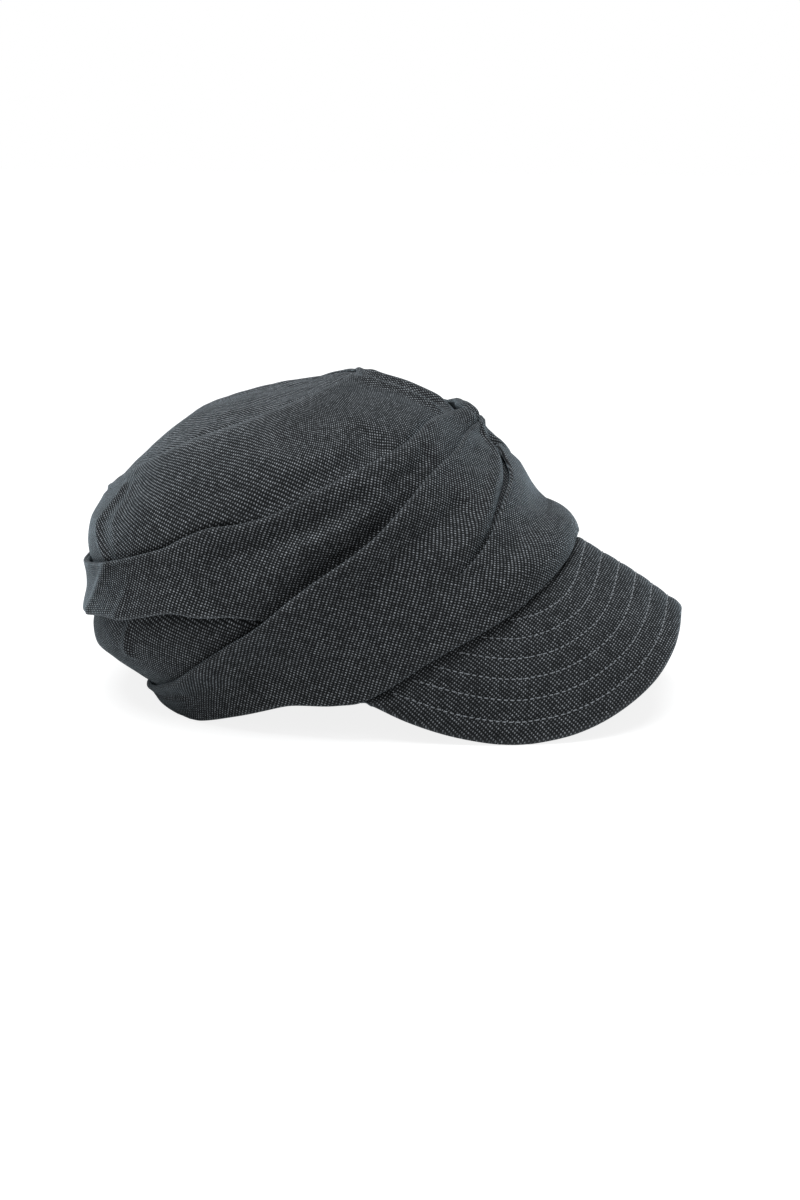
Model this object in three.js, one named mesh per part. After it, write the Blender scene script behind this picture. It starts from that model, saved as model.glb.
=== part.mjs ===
// Draped military cap: a soft round crown, two pleated drapes, a front pleat and a stitched peak.
// Millimetres. The shape is worked out in the cap's own frame, whose origin is in the middle of
// the headband, +X to the front, +Y to the wearer's left and +Z up. The cap then leans back and
// stands on the sides of its peak and the back of its hem. Angles run round the crown from the
// front, in degrees, and every table with an angle holds for both sides.
import * as THREE from 'three';

const LEAN = 20.7;              // degrees that the headband tips back when the cap stands
const HEADBAND_X = -9.5;        // where the headband's middle stands, before centring
const HEADBAND_Z = 35;

const CLOTH = 1.6;              // one layer of the cloth
const CLEAR = 0.6;              // space between two layers
const HEM_CLOTH = 3;            // the turned hem
const PEAK_THICK = 3.6;
const SLACK = 1.5;              // how far the side wall keeps back where a drape hides it

const COLUMNS = 66;             // sections round the crown
const FRONT_COLUMNS = 30;
const PEAK_COLUMNS = 36;
const TIP_COLUMNS = 48;
const WALL_LEVELS = 11;         // rows of points from the foot of a section to its top
const UPPER_LEVELS = 8;
const LOWER_LEVELS = 7;
const FRONT_LEVELS = 7;
const WALL_CROWDING = 1.25;     // draws the side wall's rows up to where it turns inwards
const FRONT_CROWDING = 1.7;     // draws the front drape's sections to the middle

// Outside of the side wall. Each row is one ring round the crown, at the height that it has at
// the sides. The corners swell it between its front, sides and back.
const CROWN_RINGS = [
  { height: -30, front: 90, back: -90, half: 77.5, frontCorner: 0.035, backCorner: 0.035 },
  { height: -15, front: 90.5, back: -92, half: 79, frontCorner: 0.035, backCorner: 0.035 },
  { height: 0, front: 90.5, back: -93, half: 80.5, frontCorner: 0.035, backCorner: 0.035 },
  { height: 10, front: 83.6, back: -98.5, half: 83, frontCorner: 0.05, backCorner: 0.035 },
  { height: 20, front: 80.2, back: -105.8, half: 85.5, frontCorner: 0.06, backCorner: 0.035 },
  { height: 28, front: 78.5, back: -109.8, half: 87.5, frontCorner: 0.05, backCorner: 0.035 },
  { height: 40, front: 75.8, back: -106.3, half: 88.5, frontCorner: 0.045, backCorner: 0.035 },
  { height: 50, front: 72, back: -102.4, half: 88, frontCorner: 0.045, backCorner: 0.035 },
  { height: 60, front: 69.3, back: -98.8, half: 86.5, frontCorner: 0.045, backCorner: 0.03 },
  { height: 69, front: 63, back: -97, half: 82, frontCorner: 0.045, backCorner: 0.03 },
  { height: 79, front: 52.3, back: -93, half: 74, frontCorner: 0.04, backCorner: 0.02 },
  { height: 87, front: 41, back: -86, half: 62, frontCorner: 0.01, backCorner: 0 },
  { height: 91.5, front: 37.5, back: -83.8, half: 54, frontCorner: 0, backCorner: 0 },
  { height: 95.3, front: 34, back: -82, half: 42, frontCorner: 0, backCorner: 0 },
];
// How far the rings' front and back are lifted over their sides.
const RING_RISE = [
  { height: 60, front: 0, back: 0 }, { height: 69, front: 0.8, back: -1 },
  { height: 79, front: 2.2, back: -2.5 }, { height: 87, front: 3.2, back: -4.5 },
  { height: 91.5, front: 1.3, back: -7.6 }, { height: 95.3, front: -0.8, back: -10.3 },
];
const SEAM_HEIGHT = 95.3;
const WALL_FOOT = 5;            // how far the side wall stops above the hem

const TIP_MIDDLE = new THREE.Vector3(-31, 0, 90);
const TIP_DOME = 12.6;          // how far the top panel's middle swells above its seam
const TIP_ROUNDNESS = 1.3;      // above 1, the dome comes level with the seam as it reaches it
const TIP_RINGS = [0.985, 0.93, 0.82, 0.66, 0.46, 0.24];

const RIDGES = { swell: 2, width: 4, apart: 17, from: 64, to: 72 };
const VALLEY = { depth: 1.2, width: 5 };

// Folded top edge of the upper drape.
const UPPER_FOLD = [
  { angle: 0, height: 65.5 }, { angle: 7, height: 68.5 }, { angle: 20, height: 69.6 },
  { angle: 31, height: 69 }, { angle: 41, height: 65.7 }, { angle: 51, height: 64.6 },
  { angle: 60, height: 64 }, { angle: 66, height: 63.6 }, { angle: 72, height: 62.6 },
  { angle: 80, height: 61.6 }, { angle: 88, height: 62.4 }, { angle: 97, height: 64.5 },
  { angle: 104, height: 64 }, { angle: 111, height: 62.7 }, { angle: 118, height: 62.6 },
  { angle: 147, height: 62.6 }, { angle: 180, height: 62 },
];
const LEFT_SAG = { depth: 4.4, angle: 22, width: 15 };
// Lower edge of the upper drape, tucked under the lower drape as far as 92 degrees and free behind.
const UPPER_EDGE = [
  { angle: 0, height: 50 }, { angle: 15, height: 52 }, { angle: 26, height: 48.5 },
  { angle: 38, height: 46.5 }, { angle: 48, height: 41.5 }, { angle: 64, height: 32.5 },
  { angle: 76, height: 27 }, { angle: 85, height: 23 }, { angle: 91, height: 24 },
  { angle: 98, height: 30 }, { angle: 105, height: 33.5 }, { angle: 114, height: 38.5 },
  { angle: 129, height: 39.6 }, { angle: 140, height: 41.8 }, { angle: 180, height: 41 },
];
// Folded top edge of the lower drape.
const LOWER_FOLD = [
  { angle: 0, height: 57 }, { angle: 8, height: 57.6 }, { angle: 15, height: 57 },
  { angle: 20, height: 55.6 }, { angle: 26, height: 54.2 }, { angle: 32, height: 53.4 },
  { angle: 38, height: 51.7 }, { angle: 48, height: 46.2 }, { angle: 58, height: 40.6 },
  { angle: 64, height: 37.7 }, { angle: 76, height: 33 }, { angle: 90, height: 25.5 },
  { angle: 106, height: 18.5 }, { angle: 118, height: 13.6 }, { angle: 130, height: 8.8 },
  { angle: 142, height: 6.6 }, { angle: 160, height: 4.5 }, { angle: 180, height: 3.5 },
];
// Folded edge of the front drape, which fades out at its lower ends.
const FRONT_FOLD = [
  { angle: 0, height: 48.5 }, { angle: 1.6, height: 47 }, { angle: 2.6, height: 42 },
  { angle: 4, height: 37.8 }, { angle: 8, height: 34.4 }, { angle: 20, height: 28.9 },
  { angle: 31, height: 21.6 }, { angle: 38.5, height: 17 }, { angle: 46, height: 13.4 },
  { angle: 54, height: 9 }, { angle: 70, height: 3.8 }, { angle: 92, height: -4 },
  { angle: 140, height: -3 }, { angle: 180, height: -0.5 },
];
// Bottom hem, before the floor presses it flat at the back.
const HEM = [
  { angle: 0, height: -0.6 }, { angle: 14, height: -4.3 }, { angle: 32, height: -7.5 },
  { angle: 47, height: -11.8 }, { angle: 66, height: -15 }, { angle: 79, height: -19.5 },
  { angle: 86, height: -21 }, { angle: 92, height: -19 }, { angle: 105, height: -13.6 },
  { angle: 119, height: -12.9 }, { angle: 131, height: -12.4 }, { angle: 140, height: -10.2 },
  { angle: 148, height: -7.8 }, { angle: 160, height: -5 }, { angle: 180, height: -3.6 },
];

const FRONT_REACH = 52;         // half angle of the front drape
const FRONT_TUCK_REACH = 36;    // half angle over which it overlaps the lower drape
const FRONT_TUCK = 5;           // how far the lower drape goes down under it
const FRONT_JOIN = 1.2;         // how far it goes down beside the ends of the front drape
const FRONT_RAISE = CLEAR + CLOTH;
const JOIN_REACH = FRONT_REACH + 0.5;
const JOIN_GAP = 0.2;           // half angle between the two sections where the lower drape steps down
const UNDER_FRONT_STEP = 4;     // angle between its sections under the front drape
const LINE_CLEAR = 0.5;         // keeps its rows off the front fold's line

// How far the cloth swells out, and over how wide a stretch.
const ROLL_WIDTH = 6;
const UPPER_ROLL = 0.9;         // the upper drape's fold
const LOWER_ROLL = 0.7;         // the lower drape's fold
const FREE_ROLL = { swell: 1.2, width: 7 };                       // the upper drape's free edge
const PILLOW = { swell: 0.8, width: 6, rise: 12 };                // above the lower drape's fold
const KNOT = { swell: 2, width: 12, from: 59, to: 64 };           // where the pleats meet in front
const CHEEK = { swell: 1.4, width: 6, angle: 9, height: 46 };     // beside the front drape's tip
const BROW = { swell: 3.8, width: 3.4, angle: 32, height: 3.4 };  // above the front hem
const HEM_TURN = { from: 2, to: 4.5 };                            // where the turned hem thins out

// Edge of the peak from the middle of the front to the end at the side.
const PEAK_EDGE = [
  { x: 130, y: 0, z: -44 }, { x: 128.3, y: 16.3, z: -49 }, { x: 124.6, y: 29.3, z: -53 },
  { x: 117.8, y: 41.6, z: -57.2 }, { x: 110.7, y: 49.7, z: -60 }, { x: 101.1, y: 57.7, z: -62.3 },
  { x: 91, y: 63.7, z: -63.6 }, { x: 80, y: 69, z: -63.4 }, { x: 70.9, y: 71.8, z: -62.2 },
  { x: 59.7, y: 74.6, z: -59.6 }, { x: 49, y: 76.6, z: -55.2 }, { x: 34, y: 78.4, z: -46.5 },
  { x: 19.9, y: 79.4, z: -35.7 }, { x: 8, y: 79.6, z: -24.5 },
];
const PEAK_ROOT_REACH = 86;     // half angle of the headband that carries the peak
const PEAK_ROOT_RISE = 4.4;     // how far the root goes up behind the hem
const PEAK_CLEAR = 0.4;         // between the peak and the hem
const PEAK_CROWN = 2;           // how far the peak swells between root and edge
const PEAK_STEPS = [0, 0.25, 0.5, 0.75, 0.94];
const PEAK_OUTWARD = new THREE.Vector3(0.55, 0.45, 0.35); // way that its end swells, cap's left side

// Soft hollows across the drapes: a straight valley from one place to the other.
const DENTS = [
  { drape: 'upper', angle: 92, height: 55, toAngle: 52, toHeight: 52.5, depth: 1.5, width: 4.5 },
  { drape: 'upper', angle: 60, height: 40, toAngle: 30, toHeight: 58, depth: 0.8, width: 4 },
  { drape: 'lower', angle: 69, height: 33, toAngle: 32, toHeight: 32.5, depth: 1.6, width: 5 },
  { drape: 'lower', angle: 102, height: 6, toAngle: 96, toHeight: 9, depth: 1.2, width: 8 },
  { drape: 'lower', angle: 64, height: 16, toAngle: 57, toHeight: 18, depth: 1, width: 7 },
];
const SIDE_RADIUS = 85;         // turns an angle round the crown into a distance

const radians = THREE.MathUtils.degToRad;
const lerp = THREE.MathUtils.lerp;
const bell = (distance, width) => Math.exp(-((distance / width) ** 2));
const ease = THREE.MathUtils.smoothstep;

// A smooth curve through one column of a table that never swings past its rows. A curve that its
// mirror image carries on is level at both ends.
function curveThrough(rows, along, column, mirrored) {
  const count = rows.length;
  const at = rows.map((row) => row[along]);
  const value = rows.map((row) => row[column]);
  const step = [];
  const slope = [];
  for (let i = 0; i < count - 1; i += 1) {
    step.push(at[i + 1] - at[i]);
    slope.push((value[i + 1] - value[i]) / step[i]);
  }
  const tangent = [mirrored ? 0 : slope[0]];
  for (let i = 1; i < count - 1; i += 1) {
    const before = 2 * step[i] + step[i - 1];
    const after = step[i] + 2 * step[i - 1];
    const level = slope[i - 1] * slope[i] <= 0;
    tangent.push(level ? 0 : (before + after) / (before / slope[i - 1] + after / slope[i]));
  }
  tangent.push(mirrored ? 0 : slope[count - 2]);
  return (wanted) => {
    const place = THREE.MathUtils.clamp(wanted, at[0], at[count - 1]);
    let i = 0;
    while (i < count - 2 && place > at[i + 1]) i += 1;
    const t = (place - at[i]) / step[i];
    const rest = 1 - t;
    return value[i] * (1 + 2 * t) * rest * rest + tangent[i] * step[i] * t * rest * rest
      + value[i + 1] * t * t * (3 - 2 * t) - tangent[i + 1] * step[i] * t * t * rest;
  };
}

const ring = {};
for (const column of ['front', 'back', 'half', 'frontCorner', 'backCorner']) {
  ring[column] = curveThrough(CROWN_RINGS, 'height', column, false);
}
const frontRise = curveThrough(RING_RISE, 'height', 'front', false);
const backRise = curveThrough(RING_RISE, 'height', 'back', false);
const foldHeight = (rows) => {
  const curve = curveThrough(rows, 'angle', 'height', true);
  return (angle) => curve(Math.abs(angle));
};
const evenUpperFold = foldHeight(UPPER_FOLD);
const upperEdge = foldHeight(UPPER_EDGE);
const lowerFold = foldHeight(LOWER_FOLD);
const frontFold = foldHeight(FRONT_FOLD);
const hem = foldHeight(HEM);

// The fold on the wearer's left sags a little beside the front.
function upperFold(angle) {
  const sag = angle > 0 ? LEFT_SAG.depth * bell(angle - LEFT_SAG.angle, LEFT_SAG.width) : 0;
  return evenUpperFold(angle) - sag;
}

function ringPoint(angle, height) {
  const turn = radians(angle);
  const front = ring.front(height);
  const back = ring.back(height);
  const facing = Math.cos(turn);
  const corner = facing > 0 ? ring.frontCorner(height) : ring.backCorner(height);
  const swell = 1 + corner * Math.sin(2 * turn) ** 2;
  const rise = facing > 0 ? frontRise(height) : backRise(height);
  return new THREE.Vector3(
    (front + back) / 2 + ((front - back) / 2) * facing * swell,
    ring.half(height) * Math.sin(turn) * swell,
    height + rise * facing * facing,
  );
}

// Two soft ridges run from the top panel to the front pleats, with a shallow valley between.
function frontRidges(sideways, height) {
  const strength = ease(height, RIDGES.from, RIDGES.to);
  const ridge = RIDGES.swell * bell(Math.abs(sideways) - RIDGES.apart / 2, RIDGES.width);
  return strength * (ridge - VALLEY.depth * bell(sideways, VALLEY.width));
}

// A point of the side wall, or of a layer that stands off it by lift.
function crownPoint(angle, height, lift) {
  const [turn, climb] = [0.1, 0.5];
  const low = Math.min(height, SEAM_HEIGHT - climb);
  const along = ringPoint(angle + turn, height).sub(ringPoint(angle - turn, height));
  const up = ringPoint(angle, low + climb).sub(ringPoint(angle, low - climb));
  const outward = along.cross(up).normalize();
  const point = ringPoint(angle, height);
  const shaped = Math.abs(angle) < 90 ? frontRidges(point.y, height) : 0;
  return point.addScaledVector(outward, lift + shaped);
}

function dentDepth(drape, angle, height) {
  let depth = 0;
  for (const dent of DENTS.filter((row) => row.drape === drape)) {
    const fromX = radians(dent.angle) * SIDE_RADIUS;
    const runX = radians(dent.toAngle) * SIDE_RADIUS - fromX;
    const runY = dent.toHeight - dent.height;
    const x = radians(Math.abs(angle)) * SIDE_RADIUS - fromX;
    const y = height - dent.height;
    const t = THREE.MathUtils.clamp((x * runX + y * runY) / (runX ** 2 + runY ** 2), 0, 1);
    depth += dent.depth * bell(Math.hypot(x - t * runX, y - t * runY), dent.width);
  }
  return depth;
}

// The side wall keeps back under the drapes, and comes out where it shows: above the upper drape
// and in the hollow behind, between the upper drape's free edge and the lower drape's fold.
function wallLift(angle, height) {
  const covered = ease(upperFold(angle) - height, 1, 6);
  const belowUpper = ease(upperEdge(angle) - height, -5, -1);
  const aboveLower = ease(height - lowerFold(angle), -5, -1);
  return -SLACK * covered * (1 - belowUpper * aboveLower);
}

// How far the outside of each drape stands off the side wall. No drape sinks into what it covers.
function upperLift(angle, height) {
  const side = Math.abs(angle);
  const roll = UPPER_ROLL * bell(upperFold(angle) - height, ROLL_WIDTH);
  const free = FREE_ROLL.swell * bell(height - upperEdge(angle), FREE_ROLL.width);
  const behind = ease(side, 94, 106);
  const pillow = PILLOW.swell * bell(height - lowerFold(angle) - PILLOW.rise, PILLOW.width);
  const beside = 1 - ease(side, 88, 96);
  const knot = KNOT.swell * bell(angle, KNOT.width) * ease(height, KNOT.from, KNOT.to);
  const dent = dentDepth('upper', angle, height);
  const lift = CLEAR + CLOTH + roll + free * behind + pillow * beside + knot - dent;
  return Math.max(lift, wallLift(angle, height) + CLEAR + CLOTH);
}

function cheekLift(angle, height) {
  const beside = bell(Math.abs(angle) - CHEEK.angle, CHEEK.width);
  return CHEEK.swell * beside * bell(height - CHEEK.height, CHEEK.width);
}

function lowerLift(angle, height) {
  const side = Math.abs(angle);
  const overUpper = 1 - ease(side, 92, 108);
  const roll = LOWER_ROLL * bell(lowerFold(angle) - height, ROLL_WIDTH);
  const base = CLEAR + CLOTH + lerp(CLEAR / 2, CLEAR + CLOTH, overUpper);
  const lift = base + roll + cheekLift(angle, height) - dentDepth('lower', angle, height);
  const coversUpper = side < 100 && height > upperEdge(angle) - ROLL_WIDTH;
  const covered = coversUpper ? upperLift(angle, height) : wallLift(angle, height);
  return Math.max(lift, covered + CLEAR + CLOTH);
}

function frontLift(angle, height) {
  const raise = FRONT_RAISE * (1 - ease(Math.abs(angle), FRONT_TUCK_REACH + 1, FRONT_REACH));
  const brow = BROW.swell * bell(height - BROW.height, BROW.width) * bell(angle, BROW.angle);
  return lowerLift(angle, height) - cheekLift(angle, height) + raise + brow;
}

// Stands the cap on the floor: the headband tips back, and cloth below the floor is pressed flat.
function stand(point) {
  const lean = radians(LEAN);
  const x = point.x * Math.cos(lean) - point.z * Math.sin(lean) + HEADBAND_X;
  const z = point.x * Math.sin(lean) + point.z * Math.cos(lean) + HEADBAND_Z;
  return new THREE.Vector3(x, point.y, Math.max(z, 0));
}

// One section through a cloth wall: a loop that goes up the outside, over the top edge and down
// the inside. Each edge is rounded by a point half way through the cloth.
function wallSection(angle, low, high, levels, lift, thickness) {
  const place = (height, inside) => {
    const outer = lift(angle, height);
    return stand(crownPoint(angle, height, outer - inside * thickness(height)));
  };
  const outside = levels.map((height) => place(height, 0));
  const inside = levels.map((height) => place(height, 1)).reverse();
  return [place(low, 0.5), ...outside, place(high, 0.5), ...inside];
}

// Evenly spaced heights between two edges, clear of their rounded tips. Above 1, crowding draws
// the heights towards the top.
function spread(low, high, count, crowding = 1) {
  const foot = low + CLOTH / 2;
  const head = high - CLOTH / 2;
  return Array.from({ length: count }, (_, i) => (
    lerp(foot, head, 1 - (1 - i / (count - 1)) ** crowding)
  ));
}

function signedVolume(points, faces) {
  let volume = 0;
  for (let i = 0; i < faces.length; i += 3) {
    const [a, b, c] = [points[faces[i]], points[faces[i + 1]], points[faces[i + 2]]];
    volume += a.dot(b.clone().cross(c)) / 6;
  }
  return volume;
}

function closedGeometry(points, faces) {
  if (signedVolume(points, faces) < 0) faces.reverse();
  const geometry = new THREE.BufferGeometry();
  geometry.setFromPoints(points);
  geometry.setIndex(faces);
  geometry.computeVertexNormals();
  return geometry;
}

// Skins a run of sections. A run that goes all the way round closes on itself; an open run gets
// an end face across its first and last section.
function skin(sections, goesRound) {
  const size = sections[0].length;
  const points = sections.flat();
  const faces = [];
  const last = goesRound ? sections.length : sections.length - 1;
  for (let i = 0; i < last; i += 1) {
    const here = i * size;
    const next = ((i + 1) % sections.length) * size;
    for (let j = 0; j < size; j += 1) {
      const k = (j + 1) % size;
      faces.push(here + j, next + j, next + k, here + j, next + k, here + k);
    }
  }
  if (!goesRound) {
    const end = (sections.length - 1) * size;
    for (let j = 1; j < size / 2; j += 1) {
      const left = j;
      const right = size - j;
      const top = j + 1;
      const far = size - j - 1;
      if (j === 1) {
        faces.push(0, left, right);
        faces.push(end, end + right, end + left);
      }
      if (top === far) {
        faces.push(left, top, right);
        faces.push(end + left, end + right, end + top);
      } else {
        faces.push(left, top, far, left, far, right);
        faces.push(end + left, end + far, end + top, end + left, end + right, end + far);
      }
    }
  }
  return closedGeometry(points, faces);
}

const evenAngles = (count) => Array.from({ length: count }, (_, i) => (i * 360) / count - 180);

function sideCrown() {
  const sections = evenAngles(COLUMNS).map((angle) => {
    const low = hem(angle) + WALL_FOOT;
    const levels = spread(low, SEAM_HEIGHT, WALL_LEVELS, WALL_CROWDING);
    return wallSection(angle, low, SEAM_HEIGHT, levels, wallLift, () => CLOTH);
  });
  return skin(sections, true);
}

function tipPoint(angle, reach, depth) {
  const seam = crownPoint(angle, SEAM_HEIGHT, 0);
  const middle = TIP_MIDDLE;
  const dome = TIP_DOME * (1 - reach * reach) ** TIP_ROUNDNESS;
  return stand(new THREE.Vector3(
    lerp(middle.x, seam.x, reach),
    lerp(middle.y, seam.y, reach),
    lerp(middle.z, seam.z, reach) + dome - depth,
  ));
}

function crownTip() {
  const points = [tipPoint(0, 0, 0)];
  const rims = [...TIP_RINGS].reverse().map((reach) => ({ reach, depth: 0 }));
  rims.push(...TIP_RINGS.map((reach) => ({ reach, depth: CLOTH })));
  for (const rim of rims) {
    for (const angle of evenAngles(TIP_COLUMNS)) points.push(tipPoint(angle, rim.reach, rim.depth));
  }
  points.push(tipPoint(0, 0, CLOTH));
  const faces = [];
  const under = points.length - 1;
  for (let j = 0; j < TIP_COLUMNS; j += 1) {
    const k = (j + 1) % TIP_COLUMNS;
    const end = (rims.length - 1) * TIP_COLUMNS;
    faces.push(0, 1 + j, 1 + k, under, end + 1 + k, end + 1 + j);
    for (let i = 0; i < rims.length - 1; i += 1) {
      const here = 1 + i * TIP_COLUMNS;
      const next = here + TIP_COLUMNS;
      faces.push(here + j, next + j, next + k, here + j, next + k, here + k);
    }
  }
  return closedGeometry(points, faces);
}

function upperDrape() {
  const sections = evenAngles(COLUMNS).map((angle) => {
    const [low, high] = [upperEdge(angle), upperFold(angle)];
    const levels = spread(low, high, UPPER_LEVELS);
    return wallSection(angle, low, high, levels, upperLift, () => CLOTH);
  });
  return skin(sections, true);
}

const hemThickness = (low) => (height) => (
  lerp(HEM_CLOTH, CLOTH, ease(height - low, HEM_TURN.from, HEM_TURN.to))
);
const frontTuck = (side) => ease(side, FRONT_TUCK_REACH - 6, FRONT_TUCK_REACH);

// The lower drape stops under the front drape over the middle of the front, and goes down to the
// hem everywhere else. Its heights are spread above and below the front fold's own line.
function lowerDrape() {
  const angles = evenAngles(COLUMNS).filter((angle) => Math.abs(angle) > JOIN_REACH + 1);
  const steps = Math.floor(JOIN_REACH / UNDER_FRONT_STEP) - 1;
  for (let i = -steps; i <= steps; i += 1) angles.push(i * UNDER_FRONT_STEP);
  for (const join of [-JOIN_REACH, JOIN_REACH]) angles.push(join - JOIN_GAP, join + JOIN_GAP);
  angles.sort((a, b) => a - b);
  const sections = angles.map((angle) => {
    const side = Math.abs(angle);
    const underFront = side < JOIN_REACH;
    const line = frontFold(angle) + LINE_CLEAR;
    const high = lowerFold(angle);
    const tuck = lerp(FRONT_TUCK, FRONT_JOIN, frontTuck(side));
    const low = underFront ? line - LINE_CLEAR - tuck : hem(angle);
    const foot = low + (underFront ? tuck / 8 : CLOTH / 2);
    const below = [0, 0.5].map((t) => lerp(foot, line, t));
    const above = spread(line - CLOTH / 2, high, LOWER_LEVELS);
    const thickness = underFront ? () => CLOTH : hemThickness(low);
    return wallSection(angle, low, high, [...below, ...above], lowerLift, thickness);
  });
  return skin(sections, true);
}

function frontDrape() {
  const sections = [];
  for (let i = 0; i <= FRONT_COLUMNS; i += 1) {
    const across = (2 * i) / FRONT_COLUMNS - 1;
    const angle = FRONT_REACH * Math.sign(across) * Math.abs(across) ** FRONT_CROWDING;
    const low = hem(angle);
    const high = frontFold(angle) - (FRONT_JOIN + CLEAR) * frontTuck(Math.abs(angle));
    const levels = spread(low, high, FRONT_LEVELS);
    sections.push(wallSection(angle, low, high, levels, frontLift, hemThickness(low)));
  }
  return skin(sections, false);
}

function peak() {
  const half = PEAK_EDGE.map((row) => new THREE.Vector3(row.x, row.y, row.z));
  const other = half.slice(1).reverse().map((point) => new THREE.Vector3(point.x, -point.y, point.z));
  const edge = new THREE.CatmullRomCurve3([...other, ...half], false, 'centripetal');
  const across = (side) => {
    const reach = Math.abs(side);
    const angle = PEAK_ROOT_REACH * reach;
    const low = hem(angle);
    const hemLift = angle < FRONT_REACH ? frontLift(angle, low) : lowerLift(angle, low);
    const behindHem = hemLift - HEM_CLOTH - PEAK_CLEAR;
    const knee = crownPoint(angle, low - PEAK_CLEAR, behindHem);
    const middleOn = (1 + reach) / 2;
    const tip = edge.getPointAt(middleOn);
    const outward = PEAK_OUTWARD.clone();
    outward.y *= reach;
    outward.normalize();
    const normal = tip.clone().sub(knee).cross(edge.getTangentAt(middleOn)).normalize();
    if (normal.dot(outward) < 0) normal.negate();
    const finish = (point) => {
      point.y *= side < 0 ? -1 : 1;
      return stand(point);
    };
    const place = (t, inside) => finish(knee.clone().lerp(tip, t)
      .addScaledVector(outward, PEAK_CROWN * 4 * t * (1 - t))
      .addScaledVector(normal, -inside * PEAK_THICK));
    const root = (inside) => finish(
      crownPoint(angle, low + PEAK_ROOT_RISE, Math.min(behindHem, 0) - inside * PEAK_THICK),
    );
    return [
      root(0.5), root(0), ...PEAK_STEPS.map((t) => place(t, 0)), place(1, 0.5),
      ...[...PEAK_STEPS].reverse().map((t) => place(t, 1)), root(1),
    ];
  };
  const sections = [];
  for (let i = 0; i <= PEAK_COLUMNS; i += 1) sections.push(across((2 * i) / PEAK_COLUMNS - 1));
  return skin(sections, false);
}

const cloth = (color) => new THREE.MeshStandardMaterial({ color, roughness: 0.95, metalness: 0 });
const piece = (name, geometry, color) => {
  const mesh = new THREE.Mesh(geometry, cloth(color));
  mesh.name = name;
  return mesh;
};

const cap = new THREE.Group();
cap.add(
  piece('crown_tip', crownTip(), 0x373c41),
  piece('side_crown', sideCrown(), 0x33383c),
  piece('upper_drape', upperDrape(), 0x33383c),
  piece('lower_drape', lowerDrape(), 0x33383c),
  piece('front_drape', frontDrape(), 0x33383c),
  piece('peak', peak(), 0x2c3136),
);
const reach = new THREE.Box3().setFromObject(cap);
cap.position.x = -(reach.min.x + reach.max.x) / 2;

export default cap;
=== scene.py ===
"""Dresses the draped cap in woven cloth, and sets up its floor, lights and camera."""

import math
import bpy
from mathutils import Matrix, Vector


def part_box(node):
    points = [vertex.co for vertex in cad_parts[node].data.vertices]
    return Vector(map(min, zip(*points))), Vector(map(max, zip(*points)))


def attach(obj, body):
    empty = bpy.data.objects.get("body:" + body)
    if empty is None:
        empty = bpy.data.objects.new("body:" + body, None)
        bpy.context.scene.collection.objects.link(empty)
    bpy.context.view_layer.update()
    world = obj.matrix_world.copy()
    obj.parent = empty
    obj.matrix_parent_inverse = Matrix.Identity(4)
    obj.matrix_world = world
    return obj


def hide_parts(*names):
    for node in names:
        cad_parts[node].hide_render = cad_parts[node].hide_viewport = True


bl_info = {
    "name": "Draped Military Cap",
    "version": (1, 0, 0),
    "blender": (4, 5, 0),
    "location": "View3D > Sidebar > Cap",
    "description": "Builds a soft cap with pleated drapes and a stitched peak in heathered cloth",
    "category": "Object",
}

from typing import NamedTuple

import bmesh
import bpy
import numpy as np
from mathutils import Vector

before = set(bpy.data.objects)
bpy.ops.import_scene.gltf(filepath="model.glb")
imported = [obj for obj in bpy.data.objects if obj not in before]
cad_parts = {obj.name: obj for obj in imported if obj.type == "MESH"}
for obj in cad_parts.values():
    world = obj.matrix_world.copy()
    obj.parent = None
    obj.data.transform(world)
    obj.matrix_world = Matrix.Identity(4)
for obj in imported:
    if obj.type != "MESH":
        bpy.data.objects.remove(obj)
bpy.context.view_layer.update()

# Lengths are in metres and angles in degrees. A place on the crown is an angle round it from the
# front, minus on the wearer's right, and a height over the headband in the cap's own frame.
LEAN = math.radians(20.7)
HEADBAND_X = -0.0095
HEADBAND_Z = 0.035
CLOTH = 0.0016
CLEAR = 0.0006
HEM_CLOTH = 0.003
SLACK = 0.0032
TUCK_BACK = 0.0016
SEAM_HEIGHT = 0.0953
SIDE_RADIUS = 0.085

CROWN_RINGS = {
    "height": (-0.03, -0.015, 0, 0.01, 0.02, 0.028, 0.04, 0.05, 0.06, 0.069, 0.079, 0.087, 0.0915,
               0.0953),
    "front": (0.09, 0.0905, 0.0905, 0.0836, 0.0802, 0.0785, 0.0758, 0.072, 0.0693, 0.063, 0.0523,
              0.041, 0.0375, 0.034),
    "back": (-0.09, -0.092, -0.093, -0.0985, -0.1058, -0.1098, -0.1063, -0.1024, -0.0988, -0.097,
             -0.093, -0.086, -0.0838, -0.082),
    "half": (0.0775, 0.079, 0.0805, 0.083, 0.0855, 0.0875, 0.0885, 0.088, 0.0865, 0.082, 0.074,
             0.062, 0.054, 0.042),
    "front_corner": (0.035, 0.035, 0.035, 0.05, 0.06, 0.05, 0.045, 0.045, 0.045, 0.045, 0.04,
                     0.01, 0, 0),
    "back_corner": (0.035, 0.035, 0.035, 0.035, 0.035, 0.035, 0.035, 0.035, 0.03, 0.03, 0.02, 0, 0,
                    0),
}
RING_RISE = {
    "height": (0.06, 0.069, 0.079, 0.087, 0.0915, 0.0953),
    "front_rise": (0, 0.0008, 0.0022, 0.0032, 0.0013, -0.0008),
    "back_rise": (0, -0.001, -0.0025, -0.0045, -0.0076, -0.0103),
}
TIP_MIDDLE = np.array((-0.031, 0, 0.09))
TIP_DOME = 0.0126

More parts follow.
